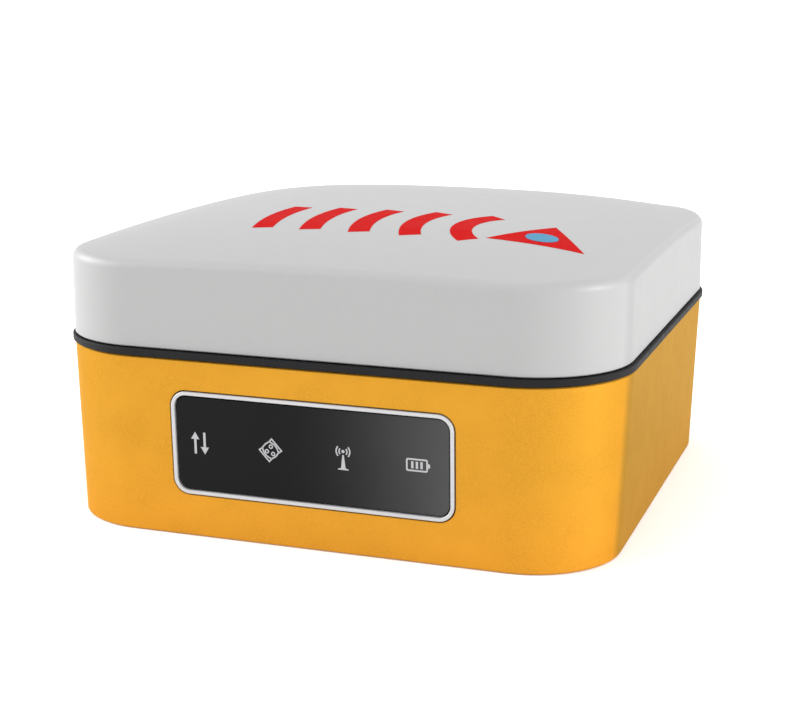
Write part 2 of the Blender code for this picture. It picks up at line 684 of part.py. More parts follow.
def make_strike(finish):
    """A steel plate on the bay's flange, with the slot that the cam passes and then turns behind."""
    back, front = BAY_HIGH.y + GAP, DOOR_BACK_Y - GAP
    strike = upright_plate(0.0062, 0.0105, 0.0010, LATCH_X + 0.0003, SIDE_Z, back, front, 2)
    slot = upright_plate(0.0032, 0.0066, 0.0010, LATCH_X, SIDE_Z, back - REACH, front + REACH, 2)
    cut(add_object("latch_strike", strike, finish), slot)


# ---------------------------------------------------------------- battery door and latch
def door_slab():
    half_x, half_z = (DOOR_END_X - DOOR_START_X) / 2, (DOOR_HIGH_Z - DOOR_LOW_Z) / 2
    centre_x, centre_z = (DOOR_END_X + DOOR_START_X) / 2, (DOOR_HIGH_Z + DOOR_LOW_Z) / 2
    back = upright_loop(half_x, half_z, DOOR_RADIUS, centre_x, centre_z, DOOR_BACK_Y, 4)
    face = [Vector((point.x, housing_half(point.z) - DOOR_SUNK, point.z)) for point in back]
    return loft([back, face])


def make_door(finish):
    """The door hangs on an empty at its hinge axis, which it returns."""
    hinge = add_empty("door_hinge_axis", (HINGE_X, HINGE_Y, 0))

    def local(bm):
        bmesh.ops.translate(bm, vec=(-HINGE_X, -HINGE_Y, 0), verts=bm.verts)
        return bm

    door = add_object("battery_door", local(door_slab()), finish)
    door.parent = hinge
    arm_low = (HINGE_X, HINGE_Y - 0.0014, KNUCKLE_LOW_Z)
    arm_high = (DOOR_START_X + 0.002, HINGE_Y + 0.0004, KNUCKLE_HIGH_Z)
    join(door, local(box(arm_low, arm_high)))
    join(door, rod(HINGE_BARREL_RADIUS, KNUCKLE_LOW_Z, KNUCKLE_HIGH_Z, steps=18))
    cut(door, hinge_bore(HINGE_X, HINGE_Y))
    cut(door, local(rod(LATCH_RECESS_RADIUS, LATCH_RECESS_Y, 0.080, LATCH_X, -SIDE_Z, 28, TO_Y)))
    cut(door, local(rod(LATCH_HOLE_RADIUS, 0.068, 0.080, LATCH_X, -SIDE_Z, 16, TO_Y)))
    return hinge


def make_latch(hinge, knob_finish, steel):
    """The quarter-turn knob and its cam, on an empty at their own axis that the door carries."""
    axis = add_empty("door_latch_axis", (LATCH_X - HINGE_X, -HINGE_Y, SIDE_Z), hinge)
    edge, stem_radius, neck_radius, stem_back = 0.0004, 0.0013, 0.0021, 0.0658
    cam_front = CAM_FRONT_Y + 2 * GAP
    profile = (
        (0, stem_back), (stem_radius, stem_back), (stem_radius, cam_front), (neck_radius, cam_front),
        (neck_radius, KNOB_BACK_Y), (KNOB_RADIUS, KNOB_BACK_Y), (KNOB_RADIUS, KNOB_FACE_Y - edge),
        (KNOB_RADIUS - edge, KNOB_FACE_Y), (0, KNOB_FACE_Y),
    )
    knob = add_object("door_latch_knob", turned(profile, 28, TO_Y), knob_finish)
    knob.parent = axis
    half_length, half_width = THUMB_BAR_HALF_LENGTH, THUMB_BAR_HALF_WIDTH
    bar_low = (-half_length, KNOB_FACE_Y - edge, -half_width)
    join(knob, box(bar_low, (half_length, THUMB_BAR_Y, half_width), 0.0003))
    cam_low = (-CAM_HALF_WIDTH, CAM_BACK_Y, -CAM_HALF_LENGTH)
    cam_high = (CAM_HALF_WIDTH, CAM_FRONT_Y, CAM_HALF_LENGTH)
    cam = add_object("door_latch_cam", box(cam_low, cam_high, 0.0003), steel)
    cam.parent = axis
    cut(cam, rod(stem_radius + GAP, 0.060, 0.072, steps=12, turn=TO_Y))


def make_hinge_pin(finish):
    pin = rod(HINGE_PIN_RADIUS, HINGE_PIN_LOW_Z, HINGE_PIN_HIGH_Z, HINGE_X, HINGE_Y, 12)
    add_object("door_hinge_pin", pin, finish)


# ---------------------------------------------------------------- ports and button
def make_side_ports(metal, rubber):
    plug_tip, plug_shoulder, plug_radius = PORT_CORE_X - 0.0006, -0.0690, 0.0053
    face_edge = 0.0004
    shell = (
        (0, PORT_BACK_X), (PORT_RADIUS, PORT_BACK_X), (PORT_RADIUS, PORT_FACE_X),
        (PORT_BORE, PORT_FACE_X), (PORT_BORE, PORT_FLOOR_X), (PORT_CORE_RADIUS, PORT_FLOOR_X),
        (PORT_CORE_RADIUS, PORT_CORE_X), (0, PORT_CORE_X),
    )
    cap = (
        (0, plug_tip), (0.0046, plug_tip), (plug_radius, plug_shoulder), (plug_radius, CAP_BACK_X),
        (CAP_RADIUS, CAP_BACK_X), (CAP_RADIUS, CAP_FACE_X + face_edge), (CAP_RADIUS - 0.0006, CAP_FACE_X),
        (0, CAP_FACE_X),
    )
    grip_half_length, grip_half_width = 0.0058, 0.0010
    for name, y in PORT_YS.items():
        place = Matrix.Translation((0, y, SIDE_Z)) @ TO_X
        add_object(name, turned(shell, 24, place), metal)
        lid = add_object(f"{name}_cap", turned(cap, 24, place), rubber)
        grip_low = (CAP_GRIP_X, y - grip_half_length, SIDE_Z - grip_half_width)
        grip_high = (CAP_FACE_X + face_edge, y + grip_half_length, SIDE_Z + grip_half_width)
        join(lid, box(grip_low, grip_high, 0.0003))


def make_power_button(rubber, board, black):
    place = Matrix.Translation((0, BUTTON_Y, SIDE_Z)) @ TO_X
    face, shoulder, flange_front, flange_back, stem_tip = -0.0757, -0.0751, -0.0712, -0.0700, -0.0690
    profile = (
        (0, face), (BUTTON_RADIUS - 0.0008, face), (BUTTON_RADIUS, shoulder),
        (BUTTON_RADIUS, flange_front), (BUTTON_FLANGE_RADIUS, flange_front),
        (BUTTON_FLANGE_RADIUS, flange_back), (BUTTON_RADIUS / 2, flange_back),
        (BUTTON_RADIUS / 2, stem_tip), (0, stem_tip),
    )
    add_object("power_button", turned(profile, 24, place), rubber)
    switch_half, switch_front, switch_back = 0.0030, -0.0672, -0.0642
    switch_low = (switch_front, BUTTON_Y - switch_half, SIDE_Z - switch_half)
    switch_high = (switch_back, BUTTON_Y + switch_half, SIDE_Z + switch_half)
    switch = add_object("button_switch", box(switch_low, switch_high, 0.0003), black)
    join(switch, rod(0.0016, switch_front - 0.0007, switch_front + 0.0007, -SIDE_Z, BUTTON_Y, 12, TO_X))
    board_front = switch_back + GAP
    board_low = (board_front, BUTTON_Y - 0.009, SIDE_Z - 0.008)
    board_high = (board_front + 0.0015, BUTTON_Y + 0.009, SIDE_Z + 0.008)
    add_object("button_board", box(board_low, board_high), board)


# ---------------------------------------------------------------- underside
def make_pole_insert(finish):
    lead_in = 0.0008
    profile = (
        (0, POLE_INSERT_TOP), (POLE_INSERT_RADIUS, POLE_INSERT_TOP), (POLE_INSERT_RADIUS, POLE_INSERT_LOW),
        (POLE_THREAD_RADIUS + lead_in, POLE_INSERT_LOW), (POLE_THREAD_RADIUS, POLE_INSERT_LOW + lead_in),
        (POLE_THREAD_RADIUS, POLE_THREAD_TOP), (0, POLE_THREAD_TOP),
    )
    add_object("pole_insert", turned(profile, 32), finish)


def make_antenna_jack(finish):
    outer, bore, pin = 0.0055, 0.0041, 0.0009
    mouth, bore_top, pin_tip, shoulder, stem_top = 0.0012, 0.0090, 0.0030, 0.0122, 0.0190
    profile = (
        (0, stem_top), (JACK_STEM_RADIUS, stem_top), (JACK_STEM_RADIUS, shoulder), (outer, shoulder),
        (outer, mouth), (bore, mouth), (bore, bore_top), (pin, bore_top), (pin, pin_tip), (0, pin_tip),
    )
    add_object("antenna_jack", turned(profile, 24, Matrix.Translation((0, JACK_Y, 0))), finish)
    nut_low, nut_high = JACK_BOSS_TOP + GAP, 0.0180
    nut = add_object("antenna_jack_nut", rod(0.0062, nut_low, nut_high, 0, JACK_Y, 6), finish)
    cut(nut, rod(JACK_STEM_RADIUS + GAP, nut_low - REACH, nut_high + REACH, 0, JACK_Y, 24))


def make_panel_plane():
    """An empty in the face of the drafted front wall: X along it, Z up the slope, Y into the housing."""
    plane = add_empty("panel_plane", (0, -HOUSING_BOTTOM_HALF, 0))
    plane.rotation_euler = (WALL_TILT, 0, 0)
    bpy.context.view_layer.update()
    return plane


def main():
    clear_scene()
    orange = material("housing_orange", (0.78, 0.36, 0.035), 0.55)
    white = material("cover_white", (0.62, 0.62, 0.62), 0.45)
    rubber = material("dark_rubber", (0.030, 0.030, 0.032), 0.75)
    black = material("black_plastic", (0.030, 0.030, 0.030), 0.5)
    lens = material("black_lens", (0.020, 0.020, 0.020), 0.12)
    silver = material("panel_silver", (0.70, 0.70, 0.71), 0.35, 0.6)
    clear = material("light_guide_clear", (0.80, 0.82, 0.84), 0.2)
    green = material("circuit_green", (0.02, 0.18, 0.07), 0.5)
    lamp = material("led_body", (0.85, 0.85, 0.80), 0.4)
    steel = material("steel", (0.55, 0.56, 0.57), 0.3, 1.0)
    brass = material("brass", (0.75, 0.56, 0.25), 0.3, 1.0)
    nickel = material("shield_nickel", (0.62, 0.61, 0.58), 0.35, 1.0)
    ceramic = material("patch_ceramic", (0.72, 0.70, 0.64), 0.4)
    battery = material("battery_plastic", (0.10, 0.11, 0.12), 0.5)

    panel_plane = make_panel_plane()
    make_lower_housing(orange, panel_plane)
    make_sealing_band(rubber)
    make_top_cover(white)
    make_housing_screws(steel)
    make_panel(panel_plane, silver, lens, clear, green, lamp)
    make_main_board(green)
    make_board_pieces(nickel, black)
    make_ground_plane(green)
    make_patches(ceramic, nickel)
    make_standoffs(brass, nickel)
    make_antenna_lead(black)
    make_battery_bay(black)
    make_door_gasket(rubber)
    make_battery(brass, battery)
    make_strike(steel)
    hinge = make_door(orange)
    make_latch(hinge, black, steel)
    make_hinge_pin(steel)
    make_side_ports(nickel, rubber)
    make_power_button(rubber, green, black)
    make_pole_insert(brass)
    make_antenna_jack(nickel)
    add_object("rating_plate", box(PLATE_LOW, PLATE_HIGH), steel)


main()
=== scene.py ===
from math import asin, atan, atan2, cos, degrees, pi, radians, sin, tan

import bmesh
import bpy
from mathutils import Matrix, Vector
from mathutils.bvhtree import BVHTree


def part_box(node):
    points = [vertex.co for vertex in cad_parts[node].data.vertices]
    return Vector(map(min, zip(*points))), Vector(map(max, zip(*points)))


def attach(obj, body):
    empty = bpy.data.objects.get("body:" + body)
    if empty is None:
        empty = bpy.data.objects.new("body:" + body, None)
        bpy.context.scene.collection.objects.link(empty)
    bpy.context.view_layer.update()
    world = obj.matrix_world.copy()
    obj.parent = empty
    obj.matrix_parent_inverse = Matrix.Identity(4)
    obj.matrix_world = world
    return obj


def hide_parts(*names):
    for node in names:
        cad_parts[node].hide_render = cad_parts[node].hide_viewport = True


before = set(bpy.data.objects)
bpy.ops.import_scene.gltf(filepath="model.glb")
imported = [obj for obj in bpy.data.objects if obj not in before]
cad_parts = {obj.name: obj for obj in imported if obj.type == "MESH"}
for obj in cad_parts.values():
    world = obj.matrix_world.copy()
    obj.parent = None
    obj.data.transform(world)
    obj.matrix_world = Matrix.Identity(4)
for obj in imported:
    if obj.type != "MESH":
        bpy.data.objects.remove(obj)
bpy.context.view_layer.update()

# ---- dimensions in metres, as the frame has them
GAP = 0.0003
HOUSING_BOTTOM_HALF = 0.07396
HOUSING_TOP_HALF = 0.07569
HOUSING_BOTTOM_RADIUS = 0.0234
HOUSING_TOP_RADIUS = 0.0267
HOUSING_TOP_Z = 0.0468
HOUSING_WALL = 0.0028
FLOOR_THICKNESS = 0.0030
BOTTOM_FILLET = 0.0005
POST_TOP_Z = 0.0462

BAND_INNER_HALF = 0.0728
BAND_LIP_ROUND = 0.0003

COVER_EDGE_Z = 0.0726
COVER_BOTTOM_HALF = 0.07543
COVER_BOTTOM_RADIUS = 0.0257
COVER_TOP_HALF = 0.07531
COVER_TOP_RADIUS = 0.0257
COVER_FILLET = 0.0028
COVER_WALL = 0.0024
COVER_BOSS_TOP = 0.0724
DOME_CROWN = 0.00486
DOME_POWER = 3.87
DOME_FALL = 0.0019
DOME_HALF = COVER_TOP_HALF - COVER_FILLET

PANEL_WIDTH = 0.0754
PANEL_HEIGHT = 0.0273
PANEL_CENTRE_UP = 0.0250
PANEL_RADIUS = 0.0042
FRAME_STRIP = 0.0010
SYMBOL_CENTRE_UP = 0.02525
INDICATOR_PITCH = 0.0195
INDICATOR_SHIFT = -0.0008

HINGE_BARREL_RADIUS = 0.0022
HINGE_PIN_RADIUS = 0.0010
HINGE_ARM_START = 0.0016  # from the pin's axis, inside the barrel's wall
HINGE_LUG_Y, HINGE_ARM_Y = (0.0727, 0.0743), (0.07215, 0.07392)
KNUCKLE_GAP_LOW_Z, KNUCKLE_GAP_HIGH_Z = 0.0137, 0.0343
LATCH_RECESS_RADIUS, LATCH_RECESS_Y = 0.0069, 0.0737
CAP_RECESS_X = -0.0739
PORT_BORE = 0.0058
THREAD_RADIUS = 0.0072
THREAD_TOP = 0.0154
THREAD_PITCH = 0.0254 / 11

CHAMFER = 0.0003
SMALLEST_CORNER = 0.0003
SHARP_ANGLE = radians(32)
ARC_STEPS = 20            # facets in a rounded corner
OUTSIDE = 0.001           # how far a cutter starts beyond the face that it cuts
WALL_TILT = atan2(HOUSING_TOP_HALF - HOUSING_BOTTOM_HALF, HOUSING_TOP_Z)

TO_X = Matrix.Rotation(radians(90), 4, "Y")
TO_Y = Matrix.Rotation(radians(-90), 4, "X")
STANDING = Matrix(((1, 0, 0, 0), (0, 0, 1, 0), (0, 1, 0, 0), (0, 0, 0, 1)))         # from XY to XZ
FACING_LEFT = Matrix(((0, 0, -1, 0), (-1, 0, 0, 0), (0, 1, 0, 0), (0, 0, 0, 1)))    # from +Z to -X
FRONT = Matrix.Translation((0, -HOUSING_BOTTOM_HALF, 0)) @ Matrix.Rotation(WALL_TILT, 4, "X")
REAR = Matrix.Rotation(pi, 4, "Z") @ FRONT
LEFT = Matrix.Rotation(-pi / 2, 4, "Z") @ FRONT


def low(node):
    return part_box(node)[0]


def high(node):
    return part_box(node)[1]


def middle(node):
    return (low(node) + high(node)) / 2


def half_size(node):
    return (high(node) - low(node)) / 2


def numbered(stem):
    return [f"{stem}_{number}" for number in range(1, 5)]


def four(stem):
    """The middles of four nodes whose names differ by their number."""
    return [middle(node) for node in numbered(stem)]


def at(x, y=0.0, z=0.0):
    return Matrix.Translation((x, y, z))


def along_x(point):
    """Turns a shape made round the Z axis to lie along X, through a point."""
    return at(0, point.y, point.z) @ TO_X


def along_y(point):
    return at(point.x, 0, point.z) @ TO_Y


def along_z(point):
    return at(point.x, point.y)


# ---- finishes
def srgb(red, green, blue):
    """Linear colour from display levels of 0 to 255."""
    shares = [level / 255 for level in (red, green, blue)]
    return tuple(s / 12.92 if s <= 0.04045 else ((s + 0.055) / 1.055) ** 2.4 for s in shares)


class Finish:
    """A Principled material whose colour, gloss and relief vary over the object, in its own metres."""

    def __init__(self, name, colour, roughness, metallic=0.0, **sockets):
        self.name = name
        self.material = bpy.data.materials.new(name)
        self.material.use_nodes = True
        self.tree = self.material.node_tree
        self.shader = self.tree.nodes["Principled BSDF"]
        self.colour = (*colour, 1.0)
        self.fill(self.shader, Base_Color=self.colour, Roughness=roughness, Metallic=metallic, **sockets)
        self.place = self.node("TexCoord").outputs["Object"]

    def put(self, value, socket):
        """Links an output to a socket, or sets the socket to a plain value."""
        if isinstance(value, bpy.types.NodeSocket):
            self.tree.links.new(value, socket)
        else:
            socket.default_value = value

    def fill(self, node, **inputs):
        for name, value in inputs.items():
            self.put(value, node.inputs[name.replace("_", " ")])

    def node(self, kind, **inputs):
        made = self.tree.nodes.new("ShaderNode" + kind)
        self.fill(made, **inputs)
        return made

    def maths(self, operation, *values):
        made = self.node("Math")
        made.operation = operation
        for value, socket in zip(values, made.inputs):
            self.put(value, socket)
        return made.outputs[0]

    def across(self, axis):
        """The coordinate along one axis, in metres."""
        return self.node("SeparateXYZ", Vector=self.place).outputs[axis]

    def spread(self, size, stretch):
        """Coordinates in which a feature of this size, longer along stretched axes, is one unit across."""
        scale = [1 / (size * share) for share in stretch]
        return self.node("Mapping", Scale=scale, Vector=self.place).outputs["Vector"]

    def noise(self, size, detail=2.0, stretch=(1, 1, 1)):
        return self.node("TexNoise", Scale=1.0, Detail=detail, Vector=self.spread(size, stretch)).outputs[0]

    def cells(self, size):
        return self.node("TexVoronoi", Scale=1.0, Vector=self.spread(size, (1, 1, 1))).outputs["Distance"]

    def ramp(self, value, start, end, low_value=0.0, high_value=1.0):
        scale = {"From Min": start, "From Max": end, "To Min": low_value, "To Max": high_value}
        return self.node("MapRange", Value=value, **scale).outputs["Result"]

    def tint(self, value, start, end, colour, amount=1.0, blend="MIX"):
        """Blends the colour towards another, or multiplies it by one, as a value goes from start to end."""
        mix = self.node("Mix")
        mix.data_type = "RGBA"
        mix.blend_type = blend
        self.put(self.ramp(value, start, end, 0.0, amount), mix.inputs[0])
        self.put(self.colour, mix.inputs[6])
        self.put((*colour, 1.0), mix.inputs[7])
        self.colour = mix.outputs[2]
        self.fill(self.shader, Base_Color=self.colour)

    def gloss(self, value, start, end, low_roughness, high_roughness):
        self.fill(self.shader, Roughness=self.ramp(value, start, end, low_roughness, high_roughness))

    def relief(self, value, height):
        bump = self.node("Bump", Distance=height, Height=value)
        self.fill(self.shader, Normal=bump.outputs["Normal"])


def scaled(colour, factor):
    return tuple(channel * factor for channel in colour)


def moulded(name, colour, roughness, grain=0.0005, height=0.00001, mottle=0.10, **sockets):
    """Moulded plastic or rubber: a fine spark-eroded grain over a slow drift of colour and gloss."""
    made = Finish(name, colour, roughness, **sockets)
    made.tint(made.noise(grain, 2), 0.35, 0.7, scaled(colour, 1 - mottle))
    made.tint(made.noise(0.03, 3), 0.35, 0.75, scaled(colour, 1 - mottle / 2), 0.7)
    made.gloss(made.noise(0.004, 3), 0.3, 0.7, roughness - 0.05, roughness + 0.06)
    made.relief(made.noise(grain, 2), height)
    return made


def machined(name, colour, roughness, stretch):
    """Bare or plated metal with fine tool marks along one axis and small stains."""
    made = Finish(name, colour, roughness, 1.0)
    made.tint(made.noise(0.004, 4), 0.4, 0.75, scaled(colour, 0.72), 0.7)
    made.gloss(made.noise(0.0006, 3, stretch), 0.3, 0.7, roughness - 0.07, roughness + 0.10)
    made.relief(made.noise(0.00025, 2, stretch), 0.000004)
    return made


def board_finish():
    """Green solder mask with tracks showing through it and small bright pads."""
    green = srgb(18, 92, 54)
    made = Finish("circuit_board", green, 0.34, Coat_Weight=0.3)
    tracks = made.noise(0.0016, 0, (5, 1, 1))
    made.tint(made.ramp(tracks, 0.47, 0.50), 0.0, 1.0, srgb(30, 128, 76), 0.8)
    made.tint(made.noise(0.012, 3), 0.4, 0.7, scaled(green, 0.7), 0.6)
    made.tint(made.cells(0.0032), 0.13, 0.11, srgb(196, 170, 96))
    made.relief(tracks, 0.00003)
    return made


def cover_finish():
    """Finely grained white plastic, with painted shade darkening its right wall."""
    base = srgb(154, 154, 154)
    made = Finish("cover_white", base, 0.42, IOR=1.49, Specular_IOR_Level=0.375)
    made.tint(made.noise(0.00045, 2), 0.35, 0.7, scaled(base, 0.975))
    # painted shade: multiplies the colour by 0.82 across the right wall, darkening that side
    made.tint(made.across("X"), 0.0742, 0.0751, (0.82, 0.82, 0.82), blend="MULTIPLY")
    made.gloss(made.noise(0.006, 3), 0.3, 0.7, 0.42, 0.45)
    made.relief(made.noise(0.0004, 2), 0.000006)
    return made


def housing_finish():
    """Textured orange paint with metal flake; painted shade darkens the right wall, whose draft is first
    taken out, painted shade with a cool cast darkens the left end, and painted light brightens it towards the
    bottom.
    """
    base = srgb(198, 142, 44)
    made = Finish("housing_orange", base, 0.50, 0.65, IOR=1.49, Specular_IOR_Level=0.15)
    made.shader.inputs["Specular Tint"].default_value = (1.0, 0.66, 0.20, 1.0)
    made.tint(made.noise(0.00030, 2), 0.32, 0.68, scaled(base, 0.80))
    made.tint(made.noise(0.012, 4), 0.40, 0.75, scaled(base, 0.97))
    undrafted = made.maths("MULTIPLY_ADD", made.across("Z"), -tan(WALL_TILT), made.across("X"))
    # painted shade: darkens the right wall, measured across X with the wall's draft taken out
    made.tint(undrafted, 0.0731, 0.0738, (0.62, 0.71, 0.97), blend="MULTIPLY")
    # painted shade with a cool cast: darkens the left end and shifts it towards blue
    made.tint(made.across("X"), -0.0500, -0.0710, (0.88, 0.92, 1.10), blend="MULTIPLY")
    # painted light: lighter towards the bottom, as bounce from the floor would make it
    made.tint(made.across("Z"), 0.026, 0.006, (1.10, 1.05, 1.05), blend="MULTIPLY")
    made.gloss(made.noise(0.004, 3), 0.3, 0.7, 0.49, 0.53)
    made.relief(made.noise(0.00030, 2), 0.00001)
    return made


def lens_finish():
    """Dark glass with a painted reflection that makes it a little lighter towards the battery symbol."""
    base = (0.0024, 0.0024, 0.0025)
    made = Finish("panel_black", base, 0.16, IOR=1.5, Specular_IOR_Level=0.12)
    # painted reflection: the glass grows lighter towards its right end
    painted_reflection = made.maths("POWER", made.ramp(made.across("X"), -0.009, 0.037), 2.0)
    made.tint(painted_reflection, 0.0, 1.0, (0.064, 0.064, 0.065))
    made.tint(made.noise(0.02, 2), 0.4, 0.7, (0.004, 0.004, 0.0045), 0.15)
    made.gloss(made.noise(0.0014, 4, (1, 1, 8)), 0.35, 0.75, 0.14, 0.22)
    made.relief(made.noise(0.012, 2), 0.00001)
    return made


def brushed(name, colour, roughness, metallic, stretch, sizes, shade, gloss, height):
    """Metal with a drawn grain: the sizes are those of its tint, its gloss and its relief."""
    made = Finish(name, colour, roughness, metallic)
    tint_size, gloss_size, relief_size = sizes
    made.tint(made.noise(tint_size, 3, stretch), 0.35, 0.7, scaled(colour, shade))
    made.gloss(made.noise(gloss_size, 3, stretch), 0.3, 0.7, *gloss)
    made.relief(made.noise(relief_size, 2, stretch), height)
    return made


def ceramic_finish():
    base = srgb(226, 220, 204)
    made = Finish("patch_ceramic", base, 0.38)
    made.tint(made.noise(0.0012, 4), 0.45, 0.7, srgb(198, 188, 168))
    made.gloss(made.noise(0.003, 3), 0.3, 0.7, 0.3, 0.5)
    made.relief(made.noise(0.0006, 3), 0.00002)
    return made


FINISHES = {made.name: made for made in (
    cover_finish(),
    moulded("band_rubber", srgb(25, 25, 27), 0.62, mottle=0.25, Specular_IOR_Level=0.15),
    housing_finish(),
    brushed("panel_silver", srgb(181, 181, 183), 0.34, 0.25, (8, 1, 1), (0.0010, 0.0008, 0.0006), 0.95,
            (0.30, 0.38), 0.000001),
    lens_finish(),
    moulded("light_guide_clear", (0.86, 0.88, 0.90), 0.18, Transmission_Weight=0.85),
    board_finish(),
    moulded("led_body", srgb(236, 226, 188), 0.35, mottle=0.06, Coat_Weight=0.5),
    machined("brass", srgb(214, 176, 104), 0.28, (1, 1, 5)),
    machined("steel", srgb(178, 180, 184), 0.28, (1, 5, 1)),
    machined("nickel", srgb(196, 194, 188), 0.26, (5, 1, 1)),
    brushed("plate_metal", srgb(206, 208, 211), 0.32, 0.9, (40, 1, 1), (0.0004, 0.0005, 0.00025), 0.82,
            (0.25, 0.42), 0.000006),
    ceramic_finish(),
    moulded("black_plastic", srgb(38, 38, 40), 0.48, mottle=0.3),
    moulded("battery_plastic", srgb(64, 68, 74), 0.5, mottle=0.2),
    moulded("black_rubber", srgb(36, 36, 38), 0.7, 0.0007, 0.00002, mottle=0.3),
)}
PRINT_GREY = moulded("print_grey", srgb(163, 164, 167), 0.4, mottle=0.08, Specular_IOR_Level=0.3)
PRINT_RED = moulded("print_red", (0.41, 0.002, 0.002), 0.6, mottle=0.06, Specular_IOR_Level=0.02)
PRINT_BLUE = moulded("print_blue", (0.062, 0.21, 0.34), 0.6, mottle=0.08, Specular_IOR_Level=0.1)


# ---- shapes
def rounded_outline(half_x, half_y, radius, steps=ARC_STEPS, side_steps=1):
    """Points round a rounded rectangle about the origin, anticlockwise, each with its outward direction."""
    found = []
    for quarter, (sign_x, sign_y) in enumerate(((1, 1), (-1, 1), (-1, -1), (1, -1))):
        centre = Vector((sign_x * (half_x - radius), sign_y * (half_y - radius)))
        for step in range(steps + 1):
            angle = (quarter + step / steps) * pi / 2
            out = Vector((cos(angle), sin(angle)))
            found.append((centre + radius * out, out))
        end, out = found[-1]
        next_x, next_y = (-sign_y * (half_x - radius), sign_x * (half_y - radius))
        start = Vector((next_x, next_y)) + radius * out
        for step in range(1, side_steps):
            found.append((end.lerp(start, step / side_steps), out))
    return found


def outline(half_x, half_y, radius, steps=ARC_STEPS, side_steps=1):
    return [point for point, out in rounded_outline(half_x, half_y, radius, steps, side_steps)]


def arc(centre, radius, start, end, steps):
    """Points on an arc between two angles in degrees."""
    angles = [radians(start + (end - start) * step / steps) for step in range(steps + 1)]
    return [Vector(centre) + radius * Vector((cos(a), sin(a))) for a in angles]


def level(points, z):
    return [Vector((point.x, point.y, z)) for point in points]


def loft(loops, closed=False):
    """Bridges loops of equal count, then caps the ends, or joins the last loop to the first."""
    bm = bmesh.new()
    rings = [[bm.verts.new(point) for point in loop] for loop in loops]
    pairs = list(zip(rings, rings[1:]))
    if closed:
        pairs.append((rings[-1], rings[0]))
    for lower, upper in pairs:
        for i in range(len(lower)):
            j = (i + 1) % len(lower)
            bm.faces.new((lower[i], lower[j], upper[j], upper[i]))
    if not closed:
        bm.faces.new(list(reversed(rings[0])))
        bm.faces.new(rings[-1])
    return bm


def placed(bm, matrix):
    bmesh.ops.transform(bm, matrix=matrix, verts=bm.verts)
    return bm


def turned(profile, steps, place=Matrix(), closed=False):
    """A profile of (radius, height) points spun round the Z axis, then placed."""
    bm = bmesh.new()
    verts = [bm.verts.new((radius, 0, height)) for radius, height in profile]
    ends = verts[1:] + verts[:1] if closed else verts[1:]
    edges = [bm.edges.new(pair) for pair in zip(verts, ends)]
    bmesh.ops.spin(bm, geom=verts + edges, angle=2 * pi, steps=steps, axis=(0, 0, 1), cent=(0, 0, 0))
    bmesh.ops.remove_doubles(bm, verts=bm.verts, dist=1e-7)
    return placed(bm, place)


def rod(radius, start, end, place=Matrix(), steps=40):
    return turned(((0, start), (radius, start), (radius, end), (0, end)), steps, place)


def rods(radius, start, end, points, steps=40):
    """One upright rod at each point."""
    return [rod(radius, start, end, along_z(point), steps) for point in points]


def box(start, end, bevel, segments=2):
    """A block between two opposite corners, with its edges rounded."""
    bm = bmesh.new()
    start, end = Vector(start), Vector(end)
    size = Matrix.Diagonal((*(end - start), 1.0))
    bmesh.ops.create_cube(bm, size=1.0, matrix=Matrix.Translation((start + end) / 2) @ size)
    bmesh.ops.bevel(bm, geom=bm.edges, offset=bevel, segments=segments, affect="EDGES", profile=0.5)
    return bm


def slab(half_x, half_y, radius, section, place, steps=8, closed=False):
    """A rounded rectangle lofted along Z through (height, inset) pairs, then placed."""
    loops = []
    for height, inset in section:
        corner = max(radius - inset, SMALLEST_CORNER)
        loops.append(level(outline(half_x - inset, half_y - inset, corner, steps), height))
    return placed(loft(loops, closed), place)


def upright(half_x, half_z, radius, x, z, section, steps=8, closed=False):
    """A slab standing on edge, with its middle at (x, z) and its heights along Y."""
    return slab(half_x, half_z, radius, section, at(x, 0, z) @ STANDING, steps, closed)


def grip_section(root, top):
    """The (height, inset) pairs of a raised bar with a softened top."""
    return (root, 0.0), (top - 0.0003, 0.0), (top - 0.0001, 0.0001), (top, 0.0003)


def merged(parts):
    """One bmesh holding several, which stay separate bodies."""
    whole = bmesh.new()
    for part in parts:
        mesh = bpy.data.meshes.new("part")
        part.to_mesh(mesh)
        part.free()
        whole.from_mesh(mesh)
        bpy.data.meshes.remove(mesh)
    return whole


# ---- objects
def solid(name, bm):
    bmesh.ops.recalc_face_normals(bm, faces=bm.faces)
    mesh = bpy.data.meshes.new(name)
    bm.to_mesh(mesh)
    bm.free()
    obj = bpy.data.objects.new(name, mesh)
    bpy.context.scene.collection.objects.link(obj)
    return obj


def boolean(obj, operation, bm):
    """Joins a closed shape to an object, or cuts one from it, keeps the result and clears its slivers."""
    tool = solid("tool", bm)
    modifier = obj.modifiers.new(operation, "BOOLEAN")
    modifier.operation = operation
    modifier.solver = "EXACT"
    modifier.object = tool
    bpy.context.view_layer.update()
    graph = bpy.context.evaluated_depsgraph_get()
    result = bpy.data.meshes.new_from_object(obj.evaluated_get(graph))
    spent = (obj.data, tool.data)
    obj.modifiers.clear()
    obj.data = result
    result.name = obj.name
    bpy.data.objects.remove(tool)
    for mesh in spent:
        bpy.data.meshes.remove(mesh)
    clean = bmesh.new()
    clean.from_mesh(result)
    bmesh.ops.dissolve_degenerate(clean, dist=1e-6, edges=clean.edges)
    clean.to_mesh(result)
    clean.free()


def join(obj, *parts):
    boolean(obj, "UNION", merged(parts))


def cut(obj, *parts):
    boolean(obj, "DIFFERENCE", merged(parts))


def dress(obj, slot, node=None, body="root", finish=None):
    """Gives an object its finish and shading, the node that it replaces and the body that it rides on."""
    obj.data.materials.clear()
    obj.data.materials.append((finish or FINISHES[slot]).material)
    obj.data.shade_smooth()
    obj.data.set_sharp_from_angle(angle=SHARP_ANGLE)
    obj.modifiers.new("weighted_normals", "WEIGHTED_NORMAL").keep_sharp = True
    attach(obj, body)
    if node:
        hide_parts(node)
    return obj


def piece(name, bm, slot, node=None, body="root", finish=None):
    return dress(solid(name, bm), slot, node, body, finish)


